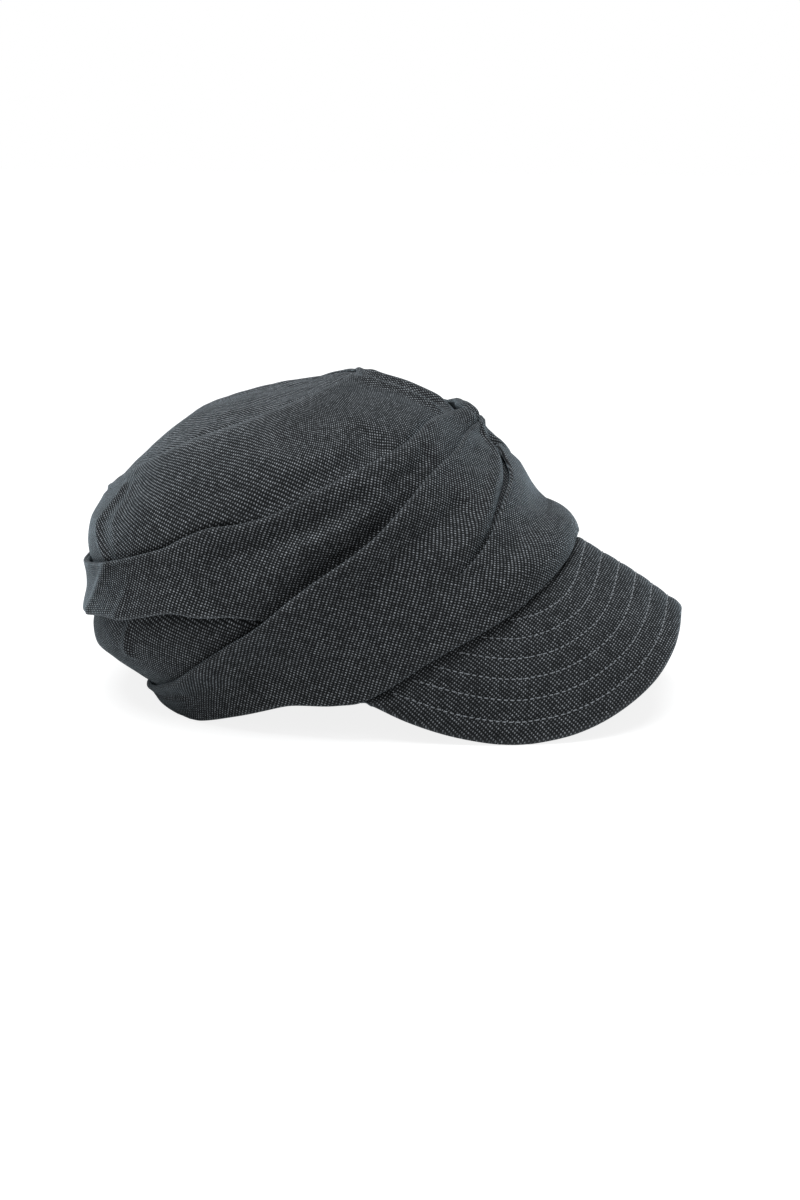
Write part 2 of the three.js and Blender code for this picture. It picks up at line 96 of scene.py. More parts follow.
UPPER_FOLD = {
    "angle": (0, 6, 12, 18, 24, 30, 36, 41, 51, 60, 66, 72, 80, 88, 97, 104, 111, 118, 147, 180),
    "height": (0.063, 0.065, 0.0665, 0.0675, 0.0674, 0.0664, 0.0654, 0.065, 0.0646, 0.064, 0.0636,
               0.0626, 0.0616, 0.0624, 0.0645, 0.064, 0.0627, 0.0626, 0.0626, 0.062),
}
LEFT_SAG = 0.003
LEFT_SAG_ANGLE = 24
LEFT_SAG_WIDTH = 14
UPPER_EDGE = {
    "angle": (0, 15, 26, 38, 48, 64, 76, 85, 91, 98, 105, 114, 129, 140, 180),
    "height": (0.05, 0.052, 0.0485, 0.0465, 0.0415, 0.0325, 0.027, 0.023, 0.024, 0.03, 0.0335,
               0.0385, 0.0396, 0.0418, 0.041),
}
LOWER_FOLD = {
    "angle": (0, 8, 15, 20, 26, 32, 38, 48, 58, 64, 76, 90, 106, 118, 130, 142, 160, 180),
    "height": (0.057, 0.0576, 0.057, 0.0556, 0.0542, 0.0534, 0.0517, 0.0462, 0.0406, 0.0377, 0.033,
               0.0255, 0.0185, 0.0136, 0.0088, 0.0066, 0.0045, 0.0035),
}
FRONT_FOLD = {
    "angle": (0, 1.6, 2.6, 4, 8, 20, 31, 38.5, 46, 54, 70, 92, 140, 180),
    "height": (0.0445, 0.0436, 0.0421, 0.0393, 0.0347, 0.0289, 0.0216, 0.017, 0.0134, 0.009, 0.0038,
               -0.004, -0.003, -0.0005),
}
HEM = {
    "angle": (0, 14, 32, 47, 66, 79, 86, 92, 105, 119, 131, 140, 148, 160, 180),
    "height": (-0.0006, -0.0043, -0.0075, -0.0118, -0.015, -0.0195, -0.021, -0.019, -0.0136,
               -0.0129, -0.0124, -0.0102, -0.0078, -0.005, -0.0036),
}
FRONT_REACH = 52
FRONT_TUCK_REACH = 36
FRONT_TUCK = 0.005
FRONT_RAISE = CLEAR + CLOTH
KNOT = 0.0043
KNOT_ANGLE = 2
KNOT_WIDTH = 10
KNOT_HEIGHT = 0.0592
KNOT_TALL = 0.0045
LOBE = 0.0012
LOBE_TALL = 0.004
CHEEK = 0.0014
BROW = 0.003
BROW_WIDTH = 0.0088
BROW_HEIGHT = 0.0045
BROW_ANGLE = 32
FRONT_SWELL = 0.0014
FRONT_SWELL_WIDTH = 0.012
FRONT_SWELL_HEIGHT = 0.032

PEAK_EDGE = {
    "x": (0.13, 0.1283, 0.1246, 0.1178, 0.1107, 0.1011, 0.091, 0.08, 0.0709, 0.0597, 0.049, 0.034,
          0.0199, 0.008),
    "y": (0, 0.0163, 0.0293, 0.0416, 0.0497, 0.0577, 0.0637, 0.069, 0.0718, 0.0746, 0.0766, 0.0784,
          0.0794, 0.0796),
    "z": (-0.0455, -0.0488, -0.0528, -0.0572, -0.06, -0.0623, -0.0636, -0.0634, -0.0622, -0.0596,
          -0.0552, -0.0465, -0.0357, -0.0245),
}
PEAK_FRONT = (0.13, 0, -0.044)
PEAK_THICK = 0.0036
PEAK_CLEAR = 0.0004
PEAK_CROWN = 0.002
PEAK_ROOT_REACH = 86
PEAK_ROOT_RISE = 0.0044


class Crease(NamedTuple):
    """A soft valley, or with a negative depth a ridge, along a path of (angle, height) places."""

    piece: str
    path: tuple
    depth: float
    width: float


CREASES = (
    Crease("upper", ((96, 0.0535), (80, 0.0525), (68, 0.052), (57, 0.0545)), 0.0028, 0.0042),
    Crease("upper", ((80, 0.0465), (66, 0.047), (52, 0.0495)), -0.0008, 0.004),
    Crease("upper", ((48, 0.0545), (34, 0.059)), 0.0016, 0.0035),
    Crease("upper", ((1.2, 0.068), (0.4, 0.054)), 0.0011, 0.0019),
    Crease("upper", ((133, 0.0616), (140, 0.0524), (147, 0.044)), -0.0012, 0.003),
    Crease("upper", ((126, 0.050), (131, 0.040)), -0.0007, 0.0022),
    Crease("upper", ((113, 0.0585), (107, 0.050), (103, 0.042)), 0.0008, 0.004),
    Crease("lower", ((66, 0.0225), (58, 0.0275), (51, 0.0315), (43, 0.033), (36, 0.0365)), 0.0028,
           0.005),
    Crease("lower", ((102, 0.006), (96, 0.009)), 0.0012, 0.008),
    Crease("lower", ((64, 0.012), (57, 0.015)), 0.0012, 0.007),
    Crease("lower", ((150, -0.001), (141, -0.0015), (134, -0.001)), -0.0008, 0.0018),
    Crease("wall", ((84, 0.0655), (68, 0.0675), (54, 0.0685), (42, 0.0705)), 0.0030, 0.0052),
    Crease("wall", ((104, 0.078), (88, 0.0765), (74, 0.0755)), 0.0009, 0.0035),
    Crease("wall", ((62, 0.083), (50, 0.078), (40, 0.077)), 0.0009, 0.0035),
    Crease("wall", ((132, 0.088), (141, 0.078), (136, 0.064)), -0.0016, 0.0028),
    Crease("wall", ((126, 0.0875), (131, 0.077), (130, 0.066)), -0.0004, 0.0028),
    Crease("wall", ((128, 0.038), (134, 0.024)), -0.0012, 0.0022),
)


def bell(distance, width):
    return np.exp(-((distance / width) ** 2))


def ease(x, low, high):
    t = np.clip((x - low) / (high - low), 0, 1)
    return t * t * (3 - 2 * t)


def lerp(a, b, t):
    return a + (b - a) * t


def unit(vectors):
    return vectors / np.linalg.norm(vectors, axis=-1, keepdims=True)


def half_turn(count):
    """Evenly spaced angles over half a turn, without its two ends."""
    return np.linspace(0, np.pi, count + 2)[1:-1]


def hermite(start, end, leave, arrive, t):
    """A smooth way from start to end that leaves and arrives in the given directions."""
    rest = 1 - t
    return (
        start * (1 + 2 * t) * rest**2
        + leave * t * rest**2
        + end * t**2 * (3 - 2 * t)
        - arrive * t**2 * rest
    )


def run_along(points, power=1):
    """Distance along a row of points from its first, with every step raised to a power."""
    steps = np.linalg.norm(np.diff(points, axis=0), axis=1) ** power
    return np.concatenate(([0], np.cumsum(steps)))


def read_at(wanted, at, rows):
    """Rows of three numbers that lie at given places, read at the wanted ones."""
    return np.stack([np.interp(wanted, at, rows[:, k]) for k in range(3)], -1)


def curve_through(table, along, column, mirrored):
    """A smooth curve through a column that never swings past its rows. A mirrored one ends
    level."""
    at = np.array(table[along], float)
    value = np.array(table[column], float)
    step = np.diff(at)
    slope = np.diff(value) / step
    before = 2 * step[1:] + step[:-1]
    after = step[1:] + 2 * step[:-1]
    turns = slope[:-1] * slope[1:] <= 0
    first = np.where(turns, 1, slope[:-1])
    second = np.where(turns, 1, slope[1:])
    inner = np.where(turns, 0, (before + after) / (before / first + after / second))
    ends = (0, 0) if mirrored else (slope[0], slope[-1])
    tangent = np.concatenate(([ends[0]], inner, [ends[1]]))

    def curve(wanted):
        place = np.clip(wanted, at[0], at[-1])
        i = np.clip(np.searchsorted(at, place) - 1, 0, len(step) - 1)
        t = (place - at[i]) / step[i]
        return hermite(value[i], value[i + 1], tangent[i] * step[i], tangent[i + 1] * step[i], t)

    return curve


RING = {
    column: curve_through(table, "height", column, False)
    for table in (CROWN_RINGS, RING_RISE)
    for column in table
    if column != "height"
}


def fold_height(table):
    curve = curve_through(table, "angle", "height", True)
    return lambda angle: curve(np.abs(angle))


even_upper_fold = fold_height(UPPER_FOLD)
upper_edge = fold_height(UPPER_EDGE)
lower_fold = fold_height(LOWER_FOLD)
front_fold = fold_height(FRONT_FOLD)
hem = fold_height(HEM)


def upper_fold(angle):
    """The upper drape's folded edge, which sags a little on the wearer's left beside the front."""
    sag = LEFT_SAG * bell(angle - LEFT_SAG_ANGLE, LEFT_SAG_WIDTH)
    return even_upper_fold(angle) - np.where(angle > 0, sag, 0)


def ring_point(angle, height):
    turn = np.radians(angle)
    front, back = RING["front"](height), RING["back"](height)
    facing = np.cos(turn)
    corner = np.where(facing > 0, RING["front_corner"](height), RING["back_corner"](height))
    swell = 1 + corner * np.sin(2 * turn) ** 2
    rise = np.where(facing > 0, RING["front_rise"](height), RING["back_rise"](height))
    x = (front + back) / 2 + (front - back) / 2 * facing * swell
    y = RING["half"](height) * np.sin(turn) * swell
    return np.stack(np.broadcast_arrays(x, y, height + rise * facing**2), -1)


RIDGE_APART = 0.0085
RIDGE = 0.002
RIDGE_WIDTH = 0.004
RIDGE_VALLEY = 0.0012
RIDGE_VALLEY_WIDTH = 0.005
RIDGE_RISES = (0.064, 0.072)
RIDGE_FADES = (0.088, SEAM_HEIGHT)
RIDGE_FADE = 0.6


def front_ridges(sideways, height):
    """Two soft ridges from the top panel to the front pleats, with a valley between them."""
    ridge = bell(np.abs(sideways) - RIDGE_APART, RIDGE_WIDTH)
    shown = ease(height, *RIDGE_RISES) * (1 - RIDGE_FADE * ease(height, *RIDGE_FADES))
    return shown * (RIDGE * ridge - RIDGE_VALLEY * bell(sideways, RIDGE_VALLEY_WIDTH))


def crown_point(angle, height, lift):
    """A point of the side wall in the cap's frame, or of a layer that stands off it by lift."""
    step = 0.0005
    low = np.minimum(height, SEAM_HEIGHT - step)
    along = ring_point(angle + 0.1, height) - ring_point(angle - 0.1, height)
    up = ring_point(angle, low + step) - ring_point(angle, low - step)
    outward = unit(np.cross(along, up))
    point = ring_point(angle, height)
    shaped = np.where(np.abs(angle) < 90, front_ridges(point[..., 1], height), 0)
    return point + outward * (lift + shaped)[..., None]


def leaned(points):
    """Leans the cap back on to the floor."""
    x = points[..., 0] * math.cos(LEAN) - points[..., 2] * math.sin(LEAN) + HEADBAND_X
    z = points[..., 0] * math.sin(LEAN) + points[..., 2] * math.cos(LEAN) + HEADBAND_Z
    return np.stack((x, points[..., 1], z), -1)


# The frame centres the cap by its box, so the front of its peak says how far the cap was moved.
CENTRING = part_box("peak")[1].x - leaned(np.array([PEAK_FRONT]))[0, 0]


def stand(points):
    """Puts the leaned cap in the frame's place and presses flat what lies below the floor."""
    place = leaned(points)
    place[..., 0] += CENTRING
    place[..., 2] = np.maximum(place[..., 2], 0)
    return place


def crease_depth(piece, angle, height):
    """How deep the piece's creases are at a place."""
    x = np.radians(np.abs(angle)) * SIDE_RADIUS
    depth = np.zeros(np.broadcast(angle, height).shape)
    for crease in CREASES:
        if crease.piece != piece:
            continue
        path = [(math.radians(a) * SIDE_RADIUS, h) for a, h in crease.path]
        nearest = np.full(depth.shape, np.inf)
        for (x0, y0), (x1, y1) in zip(path[:-1], path[1:]):
            run_x, run_y = x1 - x0, y1 - y0
            t = ((x - x0) * run_x + (height - y0) * run_y) / (run_x**2 + run_y**2)
            t = np.clip(t, 0, 1)
            away = np.hypot(x - x0 - t * run_x, height - y0 - t * run_y)
            nearest = np.minimum(nearest, away)
        depth = depth + crease.depth * bell(nearest, crease.width)
    return depth


def ripple(angle, height, amount, turn):
    """Small soft unevenness that no two places share."""
    a = np.radians(angle)
    h = height / SIDE_RADIUS
    return amount * (
        np.sin(5 * a + 9 * h + turn)
        + 0.7 * np.sin(11 * a - 17 * h + 2.1 * turn)
        + 0.5 * np.sin(23 * a + 29 * h + 3.7 * turn)
    )


WALL_COVERED = (-0.003, 0.003)
WALL_BELOW_UPPER = (-0.001, 0.006)
WALL_ABOVE_LOWER = (-0.005, -0.001)
WALL_LOOSE = (3, 18)
WALL_TIGHT = (112, 128)
WALL_TIGHTNESS = 0.7
FOLD_ROLL_WIDTH = 0.006
UPPER_ROLL = 0.0009
UPPER_FREE = (94, 106)
UPPER_FREE_LIFT = 0.002
UPPER_FREE_WIDTH = 0.007
UPPER_TUCKED = (88, 96)
UPPER_SWELL = 0.0008
UPPER_SWELL_HEIGHT = 0.012
LOBE_FADES = (18, 36)
TUCK_DEPTHS = (0.002, 0.009)
LOWER_ROLL = 0.0007
LOWER_OVER_UPPER = (92, 108)
LOWER_COVERS_TO = 100
LOWER_STANDS_OFF = 0.0003
HIDDEN_EDGE = 0.006
CHEEK_ANGLE = 9
CHEEK_WIDTH = 6
CHEEK_HEIGHT = 0.046
CHEEK_TALL = 0.006


def wall_lift(angle, height):
    """The side wall keeps back under the drapes and comes out where it shows."""
    covered = ease(upper_fold(angle) - height, *WALL_COVERED)
    below_upper = ease(upper_edge(angle) - height, *WALL_BELOW_UPPER)
    above_lower = ease(height - lower_fold(angle), *WALL_ABOVE_LOWER)
    side = np.abs(angle)
    loose = ease(side, *WALL_LOOSE) * (1 - WALL_TIGHTNESS * ease(side, *WALL_TIGHT))
    return -SLACK * loose * covered * (1 - below_upper * above_lower)


def upper_lift(angle, height):
    side = np.abs(angle)
    roll = bell(upper_fold(angle) - height, FOLD_ROLL_WIDTH) * UPPER_ROLL
    loose_edge = bell(height - upper_edge(angle), UPPER_FREE_WIDTH)
    free = ease(side, *UPPER_FREE) * loose_edge * UPPER_FREE_LIFT
    tucked = 1 - ease(side, *UPPER_TUCKED)
    over_lower = height - lower_fold(angle)
    swell = bell(over_lower - UPPER_SWELL_HEIGHT, FOLD_ROLL_WIDTH) * tucked * UPPER_SWELL
    knot = KNOT * bell(angle - KNOT_ANGLE, KNOT_WIDTH) * bell(height - KNOT_HEIGHT, KNOT_TALL)
    lobe = LOBE * bell(upper_fold(angle) - height, LOBE_TALL) * (1 - ease(side, *LOBE_FADES))
    hidden = TUCK_BACK * tucked * ease(-over_lower, *TUCK_DEPTHS)
    lift = CLEAR + CLOTH + (roll + lobe) + free + swell + knot - hidden
    lift = lift - crease_depth("upper", angle, height)
    return np.maximum(lift, wall_lift(angle, height) + CLEAR + CLOTH)


def cheek(angle, height):
    """The lower drape's fullness on both sides of the knot."""
    tall = bell(height - CHEEK_HEIGHT, CHEEK_TALL)
    return CHEEK * bell(np.abs(angle) - CHEEK_ANGLE, CHEEK_WIDTH) * tall


def lower_lift(angle, height):
    side = np.abs(angle)
    over_upper = 1 - ease(side, *LOWER_OVER_UPPER)
    roll = bell(lower_fold(angle) - height, FOLD_ROLL_WIDTH) * LOWER_ROLL
    base = CLEAR + CLOTH + lerp(LOWER_STANDS_OFF, CLEAR + CLOTH, over_upper)
    lift = base + roll + cheek(angle, height) - crease_depth("lower", angle, height)
    covers_upper = (side < LOWER_COVERS_TO) & (height > upper_edge(angle) - HIDDEN_EDGE)
    covered = np.where(covers_upper, upper_lift(angle, height), wall_lift(angle, height))
    return np.maximum(lift, covered + CLEAR + CLOTH)


def folded_front(angle):
    """How far the front pleat is folded over the lower drape, from 1 in the middle to 0."""
    return 1 - ease(np.abs(angle), FRONT_TUCK_REACH + 2, FRONT_REACH)


def front_lift(angle, height):
    raised = FRONT_RAISE * (1 - ease(np.abs(angle), FRONT_TUCK_REACH + 1, FRONT_REACH))
    brow = BROW * bell(height - BROW_HEIGHT, BROW_WIDTH)
    swell = FRONT_SWELL * bell(height - FRONT_SWELL_HEIGHT, FRONT_SWELL_WIDTH)
    full = (brow + swell) * bell(angle, BROW_ANGLE)
    return lower_lift(angle, height) - cheek(angle, height) + raised + full


def peak_edge_points(count):
    """Evenly spaced points and directions along the peak's edge, from end to end."""
    half = np.stack([np.array(PEAK_EDGE[axis]) for axis in "xyz"], -1)
    key = np.concatenate((half[:0:-1] * (1, -1, 1), half))
    reach = run_along(key, 0.5)
    fine = np.linspace(0, reach[-1], 1500)
    i = np.clip(np.searchsorted(reach, fine) - 1, 0, len(reach) - 2)
    tangent = np.gradient(key, reach, axis=0)
    span = (reach[i + 1] - reach[i])[:, None]
    t = (fine - reach[i])[:, None] / span
    points = hermite(key[i], key[i + 1], tangent[i] * span, tangent[i + 1] * span, t)
    length = run_along(points)
    even = read_at(np.linspace(0, length[-1], count), length, points)
    return even, unit(np.gradient(even, axis=0))


class RowSpread(NamedTuple):
    """How many rows a cloth gets outside, inside and round each rolled edge."""

    outside: int
    inside: int
    edge: int


COLUMNS = {
    "from": (0, 5, 12, 44),
    "to": (5, 12, 44, 180),
    "step": (0.14, 0.35, 0.55, 0.85),
}
WAVE = 0.00014
WAVE_TURN = 0.4


def round_angles():
    """Angles once round the crown, closer together at the front where the pleats meet."""
    left = [
        np.linspace(start, end, round((end - start) / step), endpoint=False)
        for start, end, step in zip(COLUMNS["from"], COLUMNS["to"], COLUMNS["step"])
    ]
    left = np.concatenate(left)
    return np.concatenate(([-180], -left[:0:-1], left))


def cloth_loop(angles, low, high, lift, thickness, rows, crowding=1.0):
    """Heights and lifts of a closed section for each angle: up the outside, over the rolled top
    edge, down the inside and round the bottom edge. The third result is the heights at which the
    cloth of the section would lie if its rolled edges were laid flat."""
    a = angles[:, None]
    low, high = low[:, None], high[:, None]
    top, foot = thickness(a, high) / 2, thickness(a, low) / 2
    up = 1 - (1 - np.linspace(0, 1, rows.outside)) ** crowding
    outside = lerp(low + foot, high - top, up)
    inside = lerp(low + foot, high - top, np.linspace(1, 0, rows.inside))
    turn = half_turn(rows.edge)
    over = high - top + top * np.sin(turn)
    over_lift = lift(a, high - top) - top + top * np.cos(turn)
    under = low + foot - foot * np.sin(turn)
    under_lift = lift(a, low + foot) - foot - foot * np.cos(turn)
    heights = np.concatenate((outside, over, inside, under), 1)
    lifts = (lift(a, outside), over_lift, lift(a, inside) - thickness(a, inside), under_lift)
    flat = (outside, high - top + top * turn, inside, low + foot - foot * (np.pi - turn))
    return heights, np.concatenate(lifts, 1), np.concatenate(flat, 1)


def place_sections(angles, heights, lifts):
    """Points of the sections as they stand on the floor, with the cloth's faint waves."""
    a = angles[:, None]
    waved = lifts + ripple(a, heights, WAVE, WAVE_TURN)
    return stand(crown_point(a, heights, waved))


def cloth_place(angles, heights, lift):
    """Place on the flat cloth of each place of a layer, across and along. The threads run true
    down both sides, and the cloth goes over the front without a step."""
    side = np.linspace(-180, 0, 361)
    levels = np.linspace(CROWN_RINGS["height"][0], SEAM_HEIGHT, 61)
    place = side[:, None], levels[None, :]
    ring = crown_point(*place, lift(*place))
    steps = np.linalg.norm(np.diff(ring, axis=0), axis=2)
    arc = np.concatenate((np.zeros((1, len(levels))), np.cumsum(steps, 0)))
    across = arc - [np.interp(TRUE_LINE_X, x, run) for x, run in zip(ring[..., 0].T, arc.T)]
    level = np.argmin(np.abs(levels - TRUE_LEVEL))
    front, back = across[-1] - across[-1, level], across[0] - across[0, level]
    across = across - ease(side, -TRUE_FRONT, 0)[:, None] * front
    across = across - (1 - ease(side, -180, -TRUE_BACK))[:, None] * back
    thread = unit(np.gradient(ring, axis=0))[:, :-1]
    rise = np.diff(ring, axis=1)
    rise = np.linalg.norm(rise - (rise * thread).sum(-1, keepdims=True) * thread, axis=2)
    along = np.concatenate((np.zeros((len(side), 1)), np.cumsum(rise, 1)), 1)

    column = (180 - np.abs(angles)[:, None]) * 2 + 0 * heights
    row = (np.clip(heights, levels[0], levels[-1]) - levels[0]) / (levels[1] - levels[0])
    i = np.clip(column.astype(int), 0, len(side) - 2)
    j = np.clip(row.astype(int), 0, len(levels) - 2)
    found = []
    for table in (across, along):
        low = lerp(table[i, j], table[i + 1, j], column - i)
        high = lerp(table[i, j + 1], table[i + 1, j + 1], column - i)
        found.append(lerp(low, high, row - j))
    over_front = 2 * across[-1, level] - found[0]
    return np.where(angles[:, None] > 0, over_front, found[0]), found[1]


def turned(across, along, degrees):
    """Cloth coordinates of a sheet whose threads run at an angle to the piece."""
    c, s = math.cos(math.radians(degrees)), math.sin(math.radians(degrees))
    return np.stack((across * c + along * s, along * c - across * s), -1)


def grid_faces(columns, rows, goes_round, closes):
    """Corners of the quads of a grid as points, and as places that don't wrap round."""
    i = np.arange(columns if goes_round else columns - 1)[:, None]
    j = np.arange(rows if closes else rows - 1)[None, :]
    i, j = np.broadcast_arrays(i, j)
    corners = np.stack(((i, j), (i + 1, j), (i + 1, j + 1), (i, j + 1)))
    corners = corners.transpose(2, 3, 0, 1).reshape(-1, 4, 2)
    index = (corners[..., 0] % columns) * rows + corners[..., 1] % rows
    return index, corners


def link_smooth(name, points, faces):
    """A smooth mesh object in the scene."""
    mesh = bpy.data.meshes.new(name)
    mesh.from_pydata(points.reshape(-1, 3).tolist(), [], faces)
    mesh.polygons.foreach_set("use_smooth", [True] * len(mesh.polygons))
    piece = bpy.data.objects.new(name, mesh)
    bpy.context.scene.collection.objects.link(piece)
    return piece


def face_outward(piece):
    """Turns every face of a closed piece to the outside."""
    mesh = piece.data
    shape = bmesh.new()
    shape.from_mesh(mesh)
    bmesh.ops.recalc_face_normals(shape, faces=shape.faces)
    if shape.calc_volume(signed=True) < 0:
        bmesh.ops.reverse_faces(shape, faces=shape.faces)
    shape.to_mesh(mesh)
    shape.free()


def skin(name, points, cloth, highlight_and_wear, goes_round=True, closes=True):
    """A closed piece over a grid of points, with cloth coordinates at its face corners and, at its
    points, the strength of a painted highlight that also stands for wear. A grid that doesn't go
    round or doesn't close gets a face at each end."""
    columns, rows = points.shape[:2]
    faces, corners = grid_faces(columns, rows, goes_round, closes)
    index = np.arange(columns * rows).reshape(columns, rows)
    ends = [] if goes_round else [index[0], index[-1]]
    ends += [] if closes else [index[:, 0], index[:, -1]]
    own = cloth[:columns, :rows].reshape(-1, 2)
    laid = [cloth[corners[..., 0], corners[..., 1]].reshape(-1, 2), *(own[end] for end in ends)]
    piece = link_smooth(name, points, faces.tolist() + [end.tolist() for end in ends])
    layer = piece.data.uv_layers.new(name="cloth")
    layer.data.foreach_set("uv", np.concatenate(laid).ravel())
    # Painted highlight: this attribute lightens the cloth along folds, seams, rims and edges, for
    # light catching them, and also for wear.
    highlight_and_wear_layer = piece.data.attributes.new("highlight_and_wear", "FLOAT", "POINT")
    highlight_and_wear_layer.data.foreach_set("value", np.broadcast_to(highlight_and_wear, points.shape[:-1]).ravel())
    face_outward(piece)
    return piece


def dress_band(name, angles, heights, points, highlight_and_wear, bias, lift):
    """Skins sections that go right round the crown, and lays the cloth on them as on the layer
    that lift describes."""
    heights = np.concatenate((heights, heights[:1]))
    heights = np.concatenate((heights, heights[:, :1]), 1)
    cloth = turned(*cloth_place(np.append(angles, 180), heights, lift), bias)
    return skin(name, points, cloth, highlight_and_wear)


def even_cloth(angle, height):
    return CLOTH + 0 * (angle + height)


def bare(angle, height):
    return 0 * (angle + height)


WALL_ROWS = RowSpread(outside=92, inside=34, edge=5)
WALL_FOOT = 0.005
WALL_FOOT_BACK = -0.0004
SEAM_RIDGE = 0.001
SEAM_RIDGE_WIDTH = 0.0013
SEAM_RIDGE_DROP = 0.0012
SEAM_HIGHLIGHT_AND_WEAR_WIDTH = 0.002
RIDGE_HIGHLIGHT_AND_WEAR_WIDTH = 0.0009
RIDGE_HIGHLIGHT_AND_WEAR_RISES = (0.07, 0.078)
WALL_FOOT_DROPS = (125, 150)
WALL_CROWDING = 1.35
WALL_CLEAR = (-0.004, 0.001)
WALL_HOLLOW = (0, 0.004)
WALL_BIAS = 48
DRAPE_BIAS = -38
TRUE_LINE_X = -0.012
TRUE_LEVEL = 0.035
TRUE_FRONT = 75
TRUE_BACK = 110


def wall_shape(angle, height):
    """The side wall with its creases and the proud edge where the top panel is sewn in."""
    clear = ease(height - upper_fold(angle), *WALL_CLEAR)
    hollow = ease(upper_edge(angle) - height, *WALL_HOLLOW)
    creases = crease_depth("wall", angle, height) * np.maximum(clear, hollow)
    ridge = SEAM_RIDGE * bell(height - SEAM_HEIGHT + SEAM_RIDGE_DROP, SEAM_RIDGE_WIDTH)
    return wall_lift(angle, height) - creases + ridge


def make_side_wall():
    angles = round_angles()
    side = np.abs(angles)
    low = hem(angles) + lerp(WALL_FOOT, WALL_FOOT_BACK, ease(side, *WALL_FOOT_DROPS))
    high = np.full(angles.shape, SEAM_HEIGHT)
    loop = cloth_loop(angles, low, high, wall_shape, even_cloth, WALL_ROWS, WALL_CROWDING)
    heights, lifts, flat = loop
    points = place_sections(angles, heights, lifts)
    outside = np.arange(heights.shape[1]) < WALL_ROWS.outside + WALL_ROWS.edge
    # Painted highlight, also standing for wear, along the seam with the top panel and along the two
    # front ridges, where light catches their edges.
    ridge = bell(np.abs(points[..., 1]) - RIDGE_APART, RIDGE_HIGHLIGHT_AND_WEAR_WIDTH) * (side < 90)[:, None]
    ridge_highlight_and_wear = ridge * ease(heights, *RIDGE_HIGHLIGHT_AND_WEAR_RISES)
    highlight_and_wear = (bell(heights - SEAM_HEIGHT, SEAM_HIGHLIGHT_AND_WEAR_WIDTH) + ridge_highlight_and_wear) * outside
    return dress_band("side_crown_cloth", angles, flat, points, highlight_and_wear, WALL_BIAS, bare)


UPPER_ROWS = RowSpread(outside=52, inside=14, edge=7)
FOLD_CLOTH = 0.0024
FOLD_REACH = 0.005
STUFFED_ANGLE = 24
STUFFED_REACH = 0.008
DIVE = 0.003
DIVE_WIDTH = 0.005
BULGE = 0.0008
BULGE_HEIGHT = 0.012
STANDS_FROM, STANDS_TO = (26, 46), (96, 118)
STANDS_WIDE_FROM, STANDS_WIDE_TO = (45, 60), (70, 92)
STANDS_SHARE = 0.35
FOLD_HIGHLIGHT_AND_WEAR = 0.3
FOLD_HIGHLIGHT_AND_WEAR_WIDTH = 0.0016
FREE_EDGE_HIGHLIGHT_AND_WEAR = 2.2
FREE_EDGE_HIGHLIGHT_AND_WEAR_WIDTH = 0.0009


def fold_cloth(fold):
    """Thickness of a drape, which is fuller where its top edge is folded over."""

    def thickness(angle, height):
        return lerp(CLOTH, FOLD_CLOTH, bell(fold(angle) - height, FOLD_REACH))

    return thickness


def standing_fold(angle):
    """How much the lower drape's fold stands away from the drape behind it, from 0 to 1."""
    side = np.abs(angle)
    wide = ease(side, *STANDS_WIDE_FROM) * (1 - ease(side, *STANDS_WIDE_TO))
    long = ease(side, *STANDS_FROM) * (1 - ease(side, *STANDS_TO))
    return STANDS_SHARE * long + (1 - STANDS_SHARE) * wide


def upper_shape(angle, height):
    above = height - lower_fold(angle)
    dive = DIVE * bell(above, DIVE_WIDTH) - BULGE * bell(above - BULGE_HEIGHT, DIVE_WIDTH)
    lift = upper_lift(angle, height) - dive * standing_fold(angle)
    return np.maximum(lift, wall_shape(angle, height) + CLEAR / 2 + CLOTH)


def upper_cloth(angle, height):
    """Thickness of the upper drape, whose folded edge is stuffed out to the wall over the front."""
    plain = fold_cloth(upper_fold)(angle, height)
    room = upper_shape(angle, height) - wall_shape(angle, height) - CLEAR / 2
    full = bell(angle, STUFFED_ANGLE) * bell(upper_fold(angle) - height, STUFFED_REACH)
    return lerp(plain, np.maximum(plain, room), full)


def make_upper_drape():
    angles = round_angles()
    low, high = upper_edge(angles), upper_fold(angles)
    heights, lifts, flat = cloth_loop(angles, low, high, upper_shape, upper_cloth, UPPER_ROWS)
    points = place_sections(angles, heights, lifts)
    # Painted highlight, also standing for wear: the folded top edge and the free lower edge are
    # lightened, for light catching them.
    highlight_and_wear = FOLD_HIGHLIGHT_AND_WEAR * bell(heights - high[:, None], FOLD_HIGHLIGHT_AND_WEAR_WIDTH)
    highlight_and_wear = highlight_and_wear + FREE_EDGE_HIGHLIGHT_AND_WEAR * bell(heights - low[:, None], FREE_EDGE_HIGHLIGHT_AND_WEAR_WIDTH)
    return dress_band("upper_drape_cloth", angles, flat, points, highlight_and_wear, DRAPE_BIAS, upper_shape)


class LowerRows(NamedTuple):
    """How many rows each stretch of the lower cloth's section gets."""

    hem: int
    front: int
    roll: int
    back: int
    turn: int
    above: int
    top: int
    inside: int


